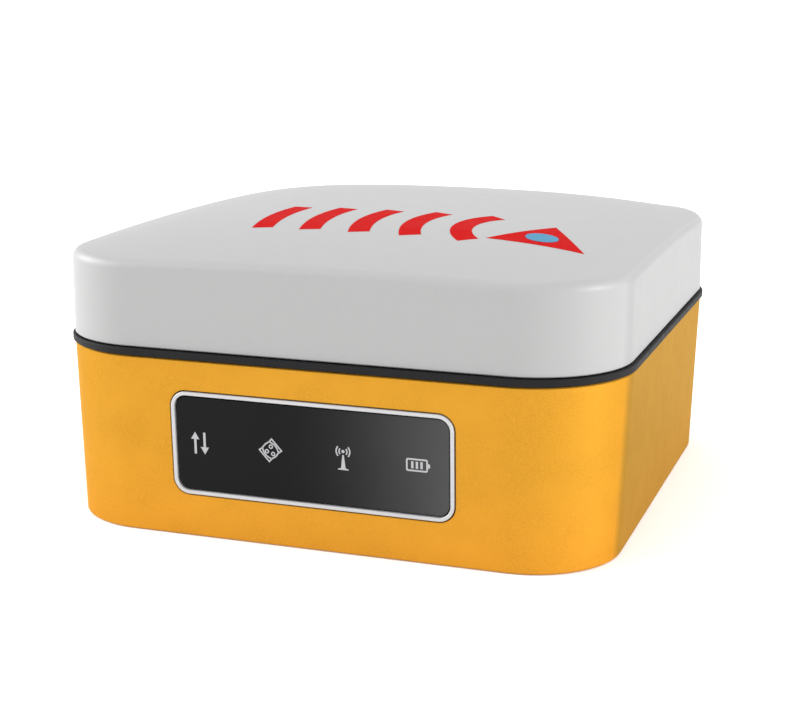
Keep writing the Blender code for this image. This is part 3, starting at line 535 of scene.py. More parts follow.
# ---- hinge
def hinge_barrel(start, end):
    """A tube round the hinge pin between two heights."""
    pin = middle("door_hinge_pin")
    edge = 0.0003
    bore, outside = HINGE_PIN_RADIUS + GAP, HINGE_BARREL_RADIUS
    profile = ((bore, start), (outside - edge, start), (outside, start + edge),
               (outside, end - edge), (outside - edge, end), (bore, end))
    return turned(profile, 36, along_z(pin), closed=True)


# ---- housing
def housing_half(z):
    return HOUSING_BOTTOM_HALF + (HOUSING_TOP_HALF - HOUSING_BOTTOM_HALF) * z / HOUSING_TOP_Z


def housing_loop(z, inset):
    half = housing_half(z) - inset
    radius = HOUSING_BOTTOM_RADIUS + (HOUSING_TOP_RADIUS - HOUSING_BOTTOM_RADIUS) * z / HOUSING_TOP_Z
    return level(outline(half, half, radius - inset), z)


def flared_hole(radius, top, point, chamfer=CHAMFER, steps=40):
    """A round cutter that comes up through the underside, with a chamfer at the face."""
    flare = radius + chamfer + OUTSIDE
    profile = ((0, -OUTSIDE), (flare, -OUTSIDE), (radius, chamfer), (radius, top), (0, top))
    return turned(profile, steps, along_z(point))


def wall_flare(point, radius, chamfer, steps):
    """A cone that chamfers a round opening in the drafted left wall."""
    inside = 0.0001
    inner, depth = radius - inside, chamfer + inside
    profile = ((0, depth), (inner, depth), (inner + depth + OUTSIDE, -OUTSIDE), (0, -OUTSIDE))
    return turned(profile, steps, LEFT @ at(-point.y, 0, point.z / cos(WALL_TILT)) @ TO_Y)


def sound_hole_places():
    centre = middle("speaker")
    circle_radius = 0.0045
    around = [circle_radius * Vector((cos(k * pi / 3), sin(k * pi / 3), 0)) for k in range(6)]
    return [centre, *(centre + offset for offset in around)]


def housing_blank():
    """The open shell: up the outside, over the rim and down the inside to its floor."""
    inner_round = 0.0015
    section = [*arc((BOTTOM_FILLET, BOTTOM_FILLET), BOTTOM_FILLET, 180, 270, 8),
               (HOUSING_TOP_Z - CHAMFER, 0), (HOUSING_TOP_Z, CHAMFER),
               (HOUSING_TOP_Z, HOUSING_WALL - CHAMFER), (HOUSING_TOP_Z - CHAMFER, HOUSING_WALL),
               (FLOOR_THICKNESS + inner_round, HOUSING_WALL), (FLOOR_THICKNESS, HOUSING_WALL + inner_round)]
    return loft([housing_loop(z, inset) for z, inset in section])


def underside_cuts():
    """Screw wells, the pole's bore, the antenna jack's well, sound holes and the rating plate's recess."""
    well, bore, jack_well, sound_hole = 0.0042, high("pole_insert").x + GAP, 0.0090, 0.0008
    slack, recess, corner, flare = 0.0005, 0.0007, 0.0022, 0.0012
    plate = half_size("rating_plate")
    section = ((-OUTSIDE, -flare), (0.0002, 0.0), (recess, 0.0))
    parts = [flared_hole(well, 0.0046, point) for point in four("housing_screw")]
    parts.append(flared_hole(bore, high("pole_insert").z + GAP, Vector(), 0.0005, 64))
    parts.append(flared_hole(jack_well, 0.0125, middle("antenna_jack"), 0.0005, 56))
    parts += [flared_hole(sound_hole, 0.004, point, 0.0002, 20) for point in sound_hole_places()]
    parts.append(slab(plate.x + slack, plate.y + slack, corner, section, along_z(middle("rating_plate"))))
    return parts


def add_posts(housing):
    corners, board_places, jack = four("housing_screw"), four("antenna_screw"), middle("antenna_jack")
    root_z, board_z = FLOOR_THICKNESS - 0.0005, low("main_board").z - GAP
    corner_post, board_post, pole_boss, jack_boss = 0.0060, 0.0035, 0.0160, 0.0110
    posts = rods(corner_post, root_z, POST_TOP_Z, corners)
    posts += rods(board_post, root_z, board_z, board_places, 28)
    posts.append(rod(pole_boss, root_z, high("pole_insert").z + 0.0021, steps=56))
    posts.append(rod(jack_boss, root_z, 0.0150, along_z(jack), 48))
    join(housing, *posts)
    cut(housing, *underside_cuts())

    screw_bore, board_bore, jack_bore = 0.0024, 0.0015, 0.0042
    bores = rods(screw_bore, 0.004, 0.050, corners, 24) + rods(board_bore, 0.0190, 0.030, board_places, 20)
    bores.append(rod(jack_bore, 0.012, 0.016, along_z(jack), 32))
    cut(housing, *bores)


def add_openings(housing):
    """Port, button, door and panel openings, with a chamfer where each meets the wall's face."""
    ports, button = [middle("data_port"), middle("power_port")], middle("power_button")
    port_radius, button_radius = half_size("data_port").y + GAP, 0.0064
    wall_outside, wall_inside = -0.080, -0.066
    openings = [rod(port_radius, wall_outside, wall_inside, along_x(port), 48) for port in ports]
    openings.append(rod(button_radius, wall_outside, wall_inside, along_x(button), 48))
    hole_low_x, hole_high_x, hole_corner = -0.0476, 0.0446, 0.0022
    half_x, half_z = (hole_high_x - hole_low_x) / 2, half_size("battery_door").z + 0.0006
    centre_x, centre_z = (hole_low_x + hole_high_x) / 2, middle("battery_door").z
    through = ((-wall_inside, 0), (-wall_outside, 0))
    openings.append(upright(half_x, half_z, hole_corner, centre_x, centre_z, through))
    for opening in openings:
        cut(housing, opening)

    recess = half_size("data_port_cap").y + 0.0005
    cut(housing, *[rod(recess, wall_outside, CAP_RECESS_X, along_x(port), 56) for port in ports])
    flares = [wall_flare(port, recess, CHAMFER, 56) for port in ports]
    flares.append(wall_flare(button, button_radius, 0.0004, 48))
    up = 1 / cos(WALL_TILT)
    flares.append(placed(upright(half_x, half_z * up, hole_corner, -centre_x, centre_z * up,
                                 ((0.0004, 0.0001), (-OUTSIDE, -0.0013))), REAR))
    cut(housing, *flares)

    panel = upright(PANEL_WIDTH / 2 + GAP, PANEL_HEIGHT / 2 + GAP, PANEL_RADIUS + GAP, 0, PANEL_CENTRE_UP,
                    ((0.006, 0), (0.00012, 0), (-OUTSIDE, -0.00112)), 12)
    cut(housing, placed(panel, FRONT))


def make_housing():
    housing = solid("housing_shell", housing_blank())
    add_posts(housing)
    add_openings(housing)
    hinge = middle("door_hinge_pin")
    overlap, lug_x, lug_end_x = 0.0005, hinge.x - 0.0048, hinge.x - HINGE_ARM_START
    knuckles = ((low("door_hinge_pin").z - overlap, KNUCKLE_GAP_LOW_Z),
                (KNUCKLE_GAP_HIGH_Z, high("door_hinge_pin").z + overlap))
    for start, end in knuckles:
        join(housing, box((lug_x, HINGE_LUG_Y[0], start), (lug_end_x, HINGE_LUG_Y[1], end), 0.0002))
        join(housing, hinge_barrel(start, end))
    dress(housing, "housing_orange", "lower_housing")


def make_band():
    bottom, top = low("sealing_band").z, high("sealing_band").z
    lip, curve = HOUSING_TOP_HALF - high("sealing_band").x, BAND_LIP_ROUND
    inner = HOUSING_TOP_HALF - BAND_INNER_HALF
    section = [*arc((bottom + curve, lip + curve), curve, 180, 270, 5),
               *arc((top - curve, lip + curve), curve, 270, 360, 5), (top, inner), (bottom, inner)]
    band = slab(HOUSING_TOP_HALF, HOUSING_TOP_HALF, HOUSING_TOP_RADIUS, section, Matrix(), 28, closed=True)
    piece("seal_band", band, "band_rubber", "sealing_band")


# ---- cover
def dome_height(point):
    share_x, share_y = abs(point.x) / DOME_HALF, abs(point.y) / DOME_HALF
    crown = (1 - share_x**DOME_POWER) * (1 - share_y**DOME_POWER)
    return COVER_EDGE_Z + DOME_CROWN * crown + DOME_FALL * (1 - share_x**2 - share_y**2)


def edge_slope(point, out):
    """Angle at which the dome falls away at its edge."""
    step = 0.0001
    return atan((dome_height(point - out * step) - dome_height(point)) / step)


def cover_loops(depth, side_steps, fillet_steps, dome_steps):
    """Loops from the cover's rim up its wall, over the fillet and in to the dome's centre.

    A depth of 0 gives the outer surface, and the wall's thickness gives the inner one.
    """
    radius = COVER_FILLET - depth
    edge = rounded_outline(DOME_HALF, DOME_HALF, COVER_TOP_RADIUS - COVER_FILLET, ARC_STEPS, side_steps)
    base = [(point, out, edge_slope(point, out)) for point, out in edge]
    bottom_z = low("top_cover").z
    loops = []
    for z, inset in ((bottom_z, CHAMFER), (bottom_z + CHAMFER, 0.0)):
        reach = COVER_BOTTOM_HALF - depth - inset
        rim = outline(reach, reach, COVER_BOTTOM_RADIUS - depth - inset, ARC_STEPS, side_steps)
        loops.append(level(rim, z))
    for step in range(fillet_steps + 1):
        loop = []
        for point, out, slope in base:
            angle = step / fillet_steps * (pi / 2 - slope)
            centre_z = dome_height(point) - COVER_FILLET * (1 + 1 / cos(slope)) / 2
            place = point + out * radius * cos(angle)
            loop.append(Vector((place.x, place.y, centre_z + radius * sin(angle))))
        loops.append(loop)
    for step in range(dome_steps):
        share = 1 - (step + 0.5) / dome_steps
        loop = []
        for point, out, slope in base:
            lift = COVER_FILLET * (1 / cos(slope) - 1) / 2 * share**8     # meets the fillet, then fades
            place = point * share
            loop.append(Vector((place.x, place.y, dome_height(place) + lift - depth)))
        loops.append(loop)
    return loops


def make_cover():
    side_steps = 14
    boss, screw_bore = 0.0050, 0.0023
    inner, outer = cover_loops(COVER_WALL, side_steps, 4, 12), cover_loops(0.0, side_steps, 14, 34)
    cover = solid("cover_shell", loft(inner[::-1] + outer))
    bottom_z = low("top_cover").z
    join(cover, *rods(boss, bottom_z + GAP, COVER_BOSS_TOP, four("housing_screw"), 32))
    cut(cover, *rods(screw_bore, bottom_z - OUTSIDE, 0.0620, four("housing_screw"), 24))
    return dress(cover, "cover_white", "top_cover")


# ---- prints
def stroke(points, width, closed=False):
    """A flat line of constant width along points in the XY plane."""
    bm = bmesh.new()
    points = [Vector(point) for point in points]
    last = len(points) - 1
    sharpest = 0.5        # keeps a mitre from growing past the line's full width
    sides = []
    for i, point in enumerate(points):
        back = (point - points[i - 1] if i or closed else points[1] - point).normalized()
        ahead = (points[(i + 1) % (last + 1)] - point if i < last or closed else back).normalized()
        way = (back + ahead).normalized()
        across = Vector((-way.y, way.x))
        mitre = width / 2 / max(way.dot(ahead), sharpest)
        sides.append([bm.verts.new((*(point + across * side * mitre), 0)) for side in (-1, 1)])
    pairs = list(zip(sides, sides[1:] + sides[:1] if closed else sides[1:]))
    for (right, left), (next_right, next_left) in pairs:
        bm.faces.new((right, next_right, next_left, left))
    return bm


def filled(points):
    bm = bmesh.new()
    bm.faces.new([bm.verts.new((x, y, 0)) for x, y in points])
    return bm


def full_circle(centre, radius, steps):
    return arc(centre, radius, 0, 360 * (steps - 1) / steps, steps - 1)


def disc(centre, radius, steps):
    return filled(full_circle(centre, radius, steps))


def triangle(centre, tip, cuts=14):
    """A triangle with a corner to the rear, divided finely enough to follow a curved surface."""
    bm = filled([centre + tip * Vector((sin(turn), cos(turn))) for turn in (0, 2 * pi / 3, 4 * pi / 3)])
    bmesh.ops.subdivide_edges(bm, edges=bm.edges[:], cuts=cuts, use_grid_fill=True)
    return bm


def thicken(bm, thickness):
    """Turns flat print into closed bodies this thick, downwards from the print's face."""
    bmesh.ops.recalc_face_normals(bm, faces=bm.faces)
    for face in bm.faces:
        if face.normal.z < 0:
            face.normal_flip()
    bmesh.ops.solidify(bm, geom=bm.faces[:], thickness=thickness)
    return bm


def drape(bm, surface, lift, stand=Matrix()):
    """Drops a flat print onto a surface, against its stand's Z axis, and leaves it this much above."""
    clear_of_all = 0.2
    inward = stand.to_3x3() @ Vector((0, 0, -1))
    back = stand.inverted()
    for vert in bm.verts:
        start = stand @ Vector((vert.co.x, vert.co.y, clear_of_all))
        hit, normal, index, distance = surface.ray_cast(start, inward)
        vert.co.z = (back @ hit).z + lift
    return bm


def surface_of(obj):
    bm = bmesh.new()
    bm.from_mesh(obj.data)
    tree = BVHTree.FromBMesh(bm)
    bm.free()
    return tree


def make_top_mark(cover):
    """A generic reception mark printed on the dome: waves that reach a triangle with a blue dot."""
    surface = surface_of(cover)
    centre = Vector((0.0490, -0.0350))
    half_height, line = 0.0140, 0.0056
    tip = 0.0145          # from the triangle's middle to each of its corners
    point = centre - Vector((0, tip / 4))
    shapes = [triangle(point, tip)]
    first_wave, wave_pitch = 0.0215, 0.0130
    for number in range(5):
        radius = first_wave + number * wave_pitch
        spread = degrees(asin(half_height / radius))
        shapes.append(stroke(arc(centre, radius, 180 - spread, 180 + spread, 28), line))
    lift, thickness = 0.00006, 0.00012
    mark = thicken(drape(merged(shapes), surface, lift), thickness)
    piece("reception_mark", mark, "cover_white", finish=PRINT_RED)
    dot = thicken(drape(disc(point, 0.0042, 48), surface, lift + thickness), thickness)
    piece("reception_dot", dot, "cover_white", finish=PRINT_BLUE)


def arrow(x, foot, tip):
    """A straight arrow's outline, from its foot to its tip."""
    way = 1 if tip > foot else -1
    stem, head, neck = 0.00032, 0.00115, tip - way * 0.0019
    points = [(-stem, foot), (stem, foot), (stem, neck), (head, neck), (0, tip), (-head, neck), (-stem, neck)]
    return filled([(x + u * way, v) for u, v in points])


def data_symbol():
    half = 0.0029
    return [arrow(-0.0013, -half, half), arrow(0.0013, half, -half)]


def satellite_symbol():
    """A barrel body between two wings, turned to the left, with three small rings."""
    line, ring_line, ring_radius = 0.00036, 0.0003, 0.00044
    half, wing, waist, swell = 0.00185, 0.0023, 0.00125, 0.00058
    wing_end, bow = half + 0.0001, half + 0.0002
    parts = []
    for side in (-1, 1):
        bulge = []
        for step in range(13):
            share = step / 6 - 1
            bulge.append((share * half, side * (waist + swell * (1 - share**2))))
        wings = (bulge[0], (-wing_end, side * wing), (wing_end, side * wing), bulge[-1])
        end = ((side * half, -waist), (side * bow, 0), (side * half, waist))
        parts += [stroke(points, line) for points in (bulge, wings, end)]
    rings = [stroke(full_circle(centre, ring_radius, 18), ring_line, closed=True)
             for centre in ((0.00014, 0.00097), (-0.00098, -0.00034), (0.00071, -0.0009))]
    return [placed(merged(parts), Matrix.Rotation(radians(-48), 4, "Z")), *rings]


def mast_symbol():
    """A tapered mast on a flat foot, a dot at its tip, and two waves either side."""
    tip, line, wave_spread = Vector((0, 0.0016)), 0.00036, 43
    parts = [disc(tip, 0.00042, 20)]
    for radius in (0.00105, 0.0018):
        for towards in (0, 180):
            parts.append(stroke(arc(tip, radius, towards - wave_spread, towards + wave_spread, 12), line))
    right_side = ((0.0014, -0.0032), (0.0014, -0.00295), (0.0006, -0.00275), (0.0002, 0.0007))
    left_side = [(-x, y) for x, y in reversed(right_side)]
    parts.append(filled([*right_side, *left_side]))
    return parts


def battery_symbol():
    """A case with three bars in it and a nub at its right end."""
    half_x, half_y, line, middle_x = 0.0026, 0.00145, 0.00042, -0.0003
    bar_x, bar_y, pitch = 0.0003, 0.0009, 0.00118
    case = [(middle_x + x, y) for x, y in outline(half_x, half_y, 0.0003, 3)]
    parts = [stroke(case, line, closed=True)]
    for number in (-1, 0, 1):
        left, right = middle_x + number * pitch - bar_x, middle_x + number * pitch + bar_x
        parts.append(filled(((left, -bar_y), (right, -bar_y), (right, bar_y), (left, bar_y))))
    nub = middle_x + half_x + line / 2
    nub_end = nub + 0.00055
    parts.append(filled(((nub, -0.0006), (nub_end, -0.00045), (nub_end, 0.00045), (nub, 0.0006))))
    return parts


def make_panel():
    half_x, half_z = PANEL_WIDTH / 2, PANEL_HEIGHT / 2
    edge, frame_depth, facets = 0.0003, 0.0026, 12
    section = [(frame_depth, 0.0), *arc((0, edge), edge, 270, 180, 4),
               *arc((0, FRAME_STRIP - edge), edge, 180, 90, 4), (frame_depth, FRAME_STRIP)]
    trim = upright(half_x, half_z, PANEL_RADIUS, 0, PANEL_CENTRE_UP, section, facets, closed=True)
    piece("frame_trim", placed(trim, FRONT), "panel_silver", "panel_frame")

    inset, face, lens_edge = FRAME_STRIP + GAP, 0.0002, 0.00025
    section = [(0.0018, 0.0), *arc((face + lens_edge, lens_edge), lens_edge, 270, 180, 4)]
    lens = upright(half_x - inset, half_z - inset, PANEL_RADIUS - inset, 0, PANEL_CENTRE_UP, section, facets)
    piece("lens_panel", placed(lens, FRONT), "panel_black", "panel_lens")

    proud = 0.00004
    symbols = (("symbol_data", data_symbol), ("symbol_satellites", satellite_symbol),
               ("symbol_radio", mast_symbol), ("symbol_battery", battery_symbol))
    for number, (name, make) in enumerate(symbols):
        x = INDICATOR_SHIFT + (number - 1.5) * INDICATOR_PITCH
        stand = FRONT @ at(x, face - proud, SYMBOL_CENTRE_UP) @ Matrix.Rotation(radians(90), 4, "X")
        piece(name, placed(thicken(merged(make()), 2 * proud), stand), "panel_silver", finish=PRINT_GREY)


# ---- battery door, latch and bay
def door_blank(start_x):
    """The door's plate beside its hinge: its back is flat, and its front follows the drafted wall."""
    half_x, half_z = (high("battery_door").x - start_x) / 2, half_size("battery_door").z
    centre_x, centre_z = start_x + half_x, middle("battery_door").z
    back_y, back_edge, edge, corner, below_wall = low("battery_door").y, 0.0003, 0.0006, 0.0016, 0.0001
    section = [(back_y, back_edge, False), (back_y + back_edge, 0.0, False)]
    section += [(depth, inset, True) for depth, inset in arc((edge, edge), edge, 270, 180, 5)]
    loops = []
    for depth, inset, on_wall in section:
        loop = []
        for point in outline(half_x - inset, half_z - inset, corner - inset, 8):
            z = centre_z + point.y
            y = housing_half(z) - below_wall - depth if on_wall else depth
            loop.append(Vector((centre_x + point.x, y, z)))
        loops.append(loop)
    return loft(loops)


def make_door():
    hinge, latch = middle("door_hinge_pin"), middle("door_latch_knob")
    start_x = hinge.x + 0.0028
    door = solid("door_panel", door_blank(start_x))
    knuckle_low, knuckle_high = KNUCKLE_GAP_LOW_Z + GAP, KNUCKLE_GAP_HIGH_Z - GAP
    arm_low = (hinge.x + HINGE_ARM_START, HINGE_ARM_Y[0], knuckle_low)
    arm_high = (start_x + 0.002, HINGE_ARM_Y[1], knuckle_high)
    join(door, box(arm_low, arm_high, 0.0002))
    join(door, hinge_barrel(knuckle_low, knuckle_high))

    up = middle("battery_door").z / cos(WALL_TILT)
    field_low, field_high = start_x + 0.0045, latch.x - 0.0105
    field = upright((field_high - field_low) / 2, 0.0130, 0.0025, -(field_low + field_high) / 2, up,
                    ((0.0005, 0.0004), (0.0001, 0.0), (-OUTSIDE, -0.0011)))
    cut(door, placed(field, REAR))

    flare_y, flare = 0.0745, 0.006
    recess = ((0, LATCH_RECESS_Y), (LATCH_RECESS_RADIUS, LATCH_RECESS_Y), (LATCH_RECESS_RADIUS, flare_y),
              (LATCH_RECESS_RADIUS + flare, flare_y + flare), (0, flare_y + flare))
    cut(door, turned(recess, 56, along_y(latch)))
    cut(door, rod(0.0026, 0.068, 0.080, along_y(latch), 32))

    rib_x, rib_z, rib_pitch = 0.0005, 0.0085, 0.0022
    section = ((0.0008, 0.0), (0.0003, 0.0), (0.0001, 0.0002))
    places = [field_high - 0.004 - number * rib_pitch for number in range(7)]
    ribs = [upright(rib_x, rib_z, rib_x, -x, up, section, 5) for x in places]
    join(door, placed(merged(ribs), REAR))
    dress(door, "housing_orange", "battery_door", "battery_door")


def make_latch():
    centre = middle("door_latch_knob")
    y_back, y_front = low("door_latch_knob").y, high("door_latch_knob").y
    stem_end, disc_back, disc_front = 0.0690, 0.0740, 0.0754
    stem, collar, disc_radius, dish = 0.0013, 0.0021, 0.0064, 0.0050
    edge, dish_depth, dish_slope = 0.0004, 0.0003, 0.0004
    profile = [(0, y_back), (stem, y_back), (stem, stem_end), (collar, stem_end), (collar, disc_back),
               (disc_radius - 0.0002, disc_back), (disc_radius, disc_back + 0.0002),
               *arc((disc_radius - edge, disc_front - edge), edge, 0, 90, 4),
               (dish, disc_front), (dish - dish_slope, disc_front - dish_depth), (0, disc_front - dish_depth)]
    knob = solid("latch_knob", turned(profile, 64, along_y(centre)))
    half_length, half_width = 0.0052, 0.0011
    join(knob, upright(half_length, half_width, half_width, centre.x, centre.z,
                       grip_section(disc_front - 0.0008, y_front)))
    notch, notch_circle = 0.00035, 0.0065
    angles = [number * pi / 12 for number in range(24)]
    places = [centre + notch_circle * Vector((cos(angle), 0, -sin(angle))) for angle in angles]
    cut(knob, *[rod(notch, 0.0742, 0.0760, along_y(place), 10) for place in places])
    dress(knob, "black_plastic", "door_latch_knob", "door_latch")
    mark = thicken(disc((0, 0), 0.0005, 24), 0.0001)
    stand = at(centre.x + 0.0040, y_front, centre.z) @ STANDING
    piece("latch_mark", placed(mark, stand), "black_plastic", body="door_latch", finish=PRINT_RED)


def make_bay():
    centre, half = middle("door_gasket"), half_size("door_gasket")
    half_width = 0.0009
    angles = [step * pi / 6 for step in range(12)]
    section = [(centre.y + half.y * sin(angle), half_width * (1 - cos(angle))) for angle in angles]
    seal = upright(half.x, half.z, 0.0030, centre.x, centre.z, section, closed=True)
    piece("door_seal", seal, "black_rubber", "door_gasket")

    bottom, top = low("door_hinge_pin").z, high("door_hinge_pin").z
    nose = ((0.0, 0.0), (0.0006, 0.0), (0.0009, 0.0002), (HINGE_PIN_RADIUS, 0.0005))
    profile = [(radius, bottom + height) for radius, height in nose]
    profile += [(radius, top - height) for radius, height in reversed(nose)]
    pin = turned(profile, 28, along_z(middle("door_hinge_pin")))
    piece("hinge_pin", pin, "steel", "door_hinge_pin")

    face = high("battery_pack").y
    pack = solid("battery_case", box(low("battery_pack"), high("battery_pack"), 0.0012, 4))
    grooves = []
    for number in range(5):
        x = -0.0180 + number * 0.0030
        grooves.append(box((x, face - 0.0006, 0.0185), (x + 0.0012, face + OUTSIDE, 0.0295), 0.0002))
    grooves.append(box((0.004, face - 0.0005, 0.0180), (0.0235, face + OUTSIDE, 0.0300), 0.0003))
    cut(pack, *grooves)
    dress(pack, "battery_plastic", "battery_pack")


# ---- ports and button
def make_port(node, pins, pin_radius):
    """A threaded shell round an insulator with its pins."""
    centre, radius = middle(node), half_size(node).y
    front, back, floor, tip = low(node).x, high(node).x, -0.0650, -0.0672
    lip, groove, pitch = 0.0004, 0.0003, 0.0014
    shell = [(0, back), (radius - CHAMFER, back), (radius, back - CHAMFER), (radius, front + lip),
             (radius - lip, front), (PORT_BORE + lip, front), (PORT_BORE, front + lip)]
    for number in range(4):
        start = front + 0.0012 + number * pitch
        shell += [(PORT_BORE, start), (PORT_BORE + groove, start + groove),
                  (PORT_BORE + groove, start + 2 * groove), (PORT_BORE, start + 3 * groove)]
    shell += [(PORT_BORE, floor), (0, floor)]
    piece(f"{node}_shell", turned(shell, 56, along_x(centre)), "nickel", node)

    insert_radius, root, pin_circle = 0.0034, floor - 0.0002, 0.0021
    profile = ((0, root), (insert_radius, root), (insert_radius, tip + CHAMFER),
               (insert_radius - CHAMFER, tip), (0, tip))
    insert = solid(f"{node}_insert", turned(profile, 40, along_x(centre)))
    angles = [2 * pi * k / pins for k in range(pins)]
    places = [along_x(centre + pin_circle * Vector((0, cos(angle), sin(angle)))) for angle in angles]
    cut(insert, *[rod(pin_radius, -0.0690, -0.0662, place, 16) for place in places])
    dress(insert, "black_plastic")
    contact_share = 0.62
    contacts = [rod(pin_radius * contact_share, -0.0669, -0.0659, place, 14) for place in places]
    piece(f"{node}_contacts", merged(contacts), "brass")


def make_cap(node, dots):
    """A ribbed rubber plug under a round face with a grip bar and raised dots."""
    centre, radius = middle(node), half_size(node).y
    face, back, edge = -0.0754, -0.0742, 0.0005
    plug, rib, rib_pitch = 0.0053, 0.0003, 0.0012
    profile = [(0, high(node).x), (0.0046, high(node).x), (0.0051, -0.0683), (plug, -0.0690)]
    for number in range(3):
        start = -0.0700 - number * rib_pitch
        profile += [(plug, start), (plug - 0.00025, start - rib), (plug, start - 2 * rib)]
    ring_outer, ring_inner, ring_depth = 0.0078, 0.0070, 0.00025
    profile += [(plug, back), (radius - 0.0002, back), (radius, back - 0.0002),
                *arc((radius - edge, face + edge), edge, 0, -90, 4),
                (ring_outer, face), (ring_outer - 0.0002, face + ring_depth),
                (ring_inner + 0.0002, face + ring_depth), (ring_inner, face), (0, face)]
    cap = solid(f"{node}_fine", turned(profile, 64, along_x(centre)))
    half_length, half_width = 0.0058, 0.0010
    join(cap, slab(half_length, half_width, half_width, grip_section(-face - 0.0006, -low(node).x),
                   at(0, centre.y, centre.z) @ FACING_LEFT))
    dot, dot_up, pitch = 0.0007, 0.0040, 0.0026
    bump = ((0, face + 0.0004), (dot, face + 0.0004), (dot, face - 0.0001), (0.0004, face - 0.0003),
            (0, face - 0.00035))
    places = [centre + Vector((0, (number - (dots - 1) / 2) * pitch, dot_up)) for number in range(dots)]
    join(cap, *[turned(bump, 20, along_x(place)) for place in places])
    dress(cap, "black_rubber", node, node)


def make_button():
    centre, face = middle("power_button"), low("power_button").x
    radius, dome, stem = 0.0060, 0.0006, 0.0030
    flange, flange_front, flange_back, stem_end = 0.0078, -0.0712, -0.0700, -0.0690
    angles = [step * pi / 20 for step in range(11)]
    profile = [(radius * sin(a), face + dome * (1 - cos(a))) for a in angles]
    profile += [(radius, flange_front), (flange, flange_front), (flange, flange_back), (stem, flange_back),
                (stem, stem_end), (0, stem_end)]
    button = solid("button_fine", turned(profile, 56, along_x(centre)))
    dress(button, "black_rubber", "power_button", "power_button")

    line, half_gap = 0.0005, 38
    stand = at(0, centre.y, centre.z) @ FACING_LEFT
    symbol = merged([stroke(arc((0, 0), 0.0022, 90 + half_gap, 450 - half_gap, 30), line),
                     stroke(((0, 0.0006), (0, 0.0027)), line)])
    symbol = thicken(drape(symbol, surface_of(button), 0.00001, stand), 0.00006)
    piece("power_symbol", placed(symbol, stand), "black_rubber", body="power_button", finish=PRINT_GREY)


# ---- underside
def threaded_loops(radius, depth, pitch, start_z, end_z, steps=72):
    """Loops up a threaded wall, whose ridges leave the radius by the depth, which is negative in a nut."""
    rows_in_pitch = 14
    rows = round((end_z - start_z) / pitch * rows_in_pitch)
    loops = []
    for row in range(rows + 1):
        z = start_z + (end_z - start_z) * row / rows
        fade = min((z - start_z) / pitch, (end_z - z) / pitch, 0.5) * 2
        loop = []
        for step in range(steps):
            turn = step / steps
            phase = ((z - start_z) / pitch - turn) % 1
            ridge = min(max(2.6 * (0.5 - abs(phase - 0.5)) - 0.25, 0), 1)
            reach = radius + depth * ridge * fade
            loop.append(Vector((reach * cos(2 * pi * turn), reach * sin(2 * pi * turn), z)))
        loops.append(loop)
    return loops


def circles(*pairs, steps=72):
    """Loops round the Z axis from (radius, height) pairs."""
    angles = [2 * pi * k / steps for k in range(steps)]
    return [[Vector((radius * cos(a), radius * sin(a), z)) for a in angles] for radius, z in pairs]


def make_pole_insert():
    radius, bottom, top = high("pole_insert").x, low("pole_insert").z, high("pole_insert").z
    ring_outer, ring_inner, ring_depth, lead, ridge = 0.0104, 0.0097, 0.0002, 0.0008, 0.0009
    loops = circles((radius - CHAMFER, top), (radius, top - CHAMFER), (radius, bottom + CHAMFER),
                    (radius - CHAMFER, bottom), (ring_outer, bottom),
                    (ring_outer - ring_depth, bottom + ring_depth),
                    (ring_inner + ring_depth, bottom + ring_depth), (ring_inner, bottom),
                    (THREAD_RADIUS + lead, bottom), (THREAD_RADIUS, bottom + lead))
    thread_start, thread_end = bottom + lead + 0.0001, THREAD_TOP - 0.0006
    loops += threaded_loops(THREAD_RADIUS, -ridge, THREAD_PITCH, thread_start, thread_end)
    loops += circles((THREAD_RADIUS, THREAD_TOP - CHAMFER), (THREAD_RADIUS - CHAMFER, THREAD_TOP))
    piece("pole_socket", loft(loops), "brass", "pole_insert")


def make_jack():
    """A threaded shell with an insulating sleeve and a pointed contact in it."""
    bottom, top, place = low("antenna_jack").z, high("antenna_jack").z, along_z(middle("antenna_jack"))
    neck, flange_z, outer, bore, bore_floor = 0.0038, 0.0122, 0.0055, 0.0041, 0.0090
    ridge, pitch = 0.0004, 0.0009
    root = outer - ridge
    loops = circles((neck - CHAMFER, top), (neck, top - CHAMFER), (neck, flange_z), (outer, flange_z))
    loops += threaded_loops(root, ridge, pitch, bottom + 0.0008, 0.0110)[::-1]
    loops += circles((root, bottom + 0.0005), (root - 0.0002, bottom), (bore + 0.0002, bottom),
                     (bore, bottom + 0.0003), (bore, bore_floor))
    piece("jack_shell", placed(loft(loops), place), "nickel", "antenna_jack")
    root_z, pin, pin_tip = bore_floor - 0.0001, 0.0009, 0.0030
    sleeve = ((0.0010, root_z), (0.0010, 0.0050), (0.0013, 0.0047),
              (0.0021, 0.0047), (0.0023, 0.0050), (0.0023, root_z))
    piece("jack_insulator", turned(sleeve, 36, place, closed=True), "patch_ceramic")
    contact = ((0, root_z), (pin, root_z), (pin, pin_tip + 0.0004), (0.0005, pin_tip), (0, pin_tip))
    piece("jack_contact", turned(contact, 24, place), "brass")


def make_screws():
    head, head_top, shank, edge, hexagon = 0.0038, 0.0043, 0.0020, 0.0010, 0.0012
    for number, node in enumerate(numbered("housing_screw"), 1):
        head_low, tip, place = low(node).z, high(node).z, along_z(middle(node))
        profile = [(0, head_low), *arc((head - edge, head_low + edge), edge, -90, 0, 5),
                   (head, head_top - 0.0002), (head - 0.0002, head_top), (shank, head_top),
                   (shank, tip - 0.0010), (shank - 0.0005, tip), (0, tip)]
        screw = solid(f"corner_screw_{number}", turned(profile, 48, place))
        socket = ((0, 0.0), (hexagon + 0.0006, 0.0), (hexagon, 0.0010), (hexagon, 0.0024), (0, 0.0030))
        cut(screw, turned(socket, 6, place))
        dress(screw, "steel", node)


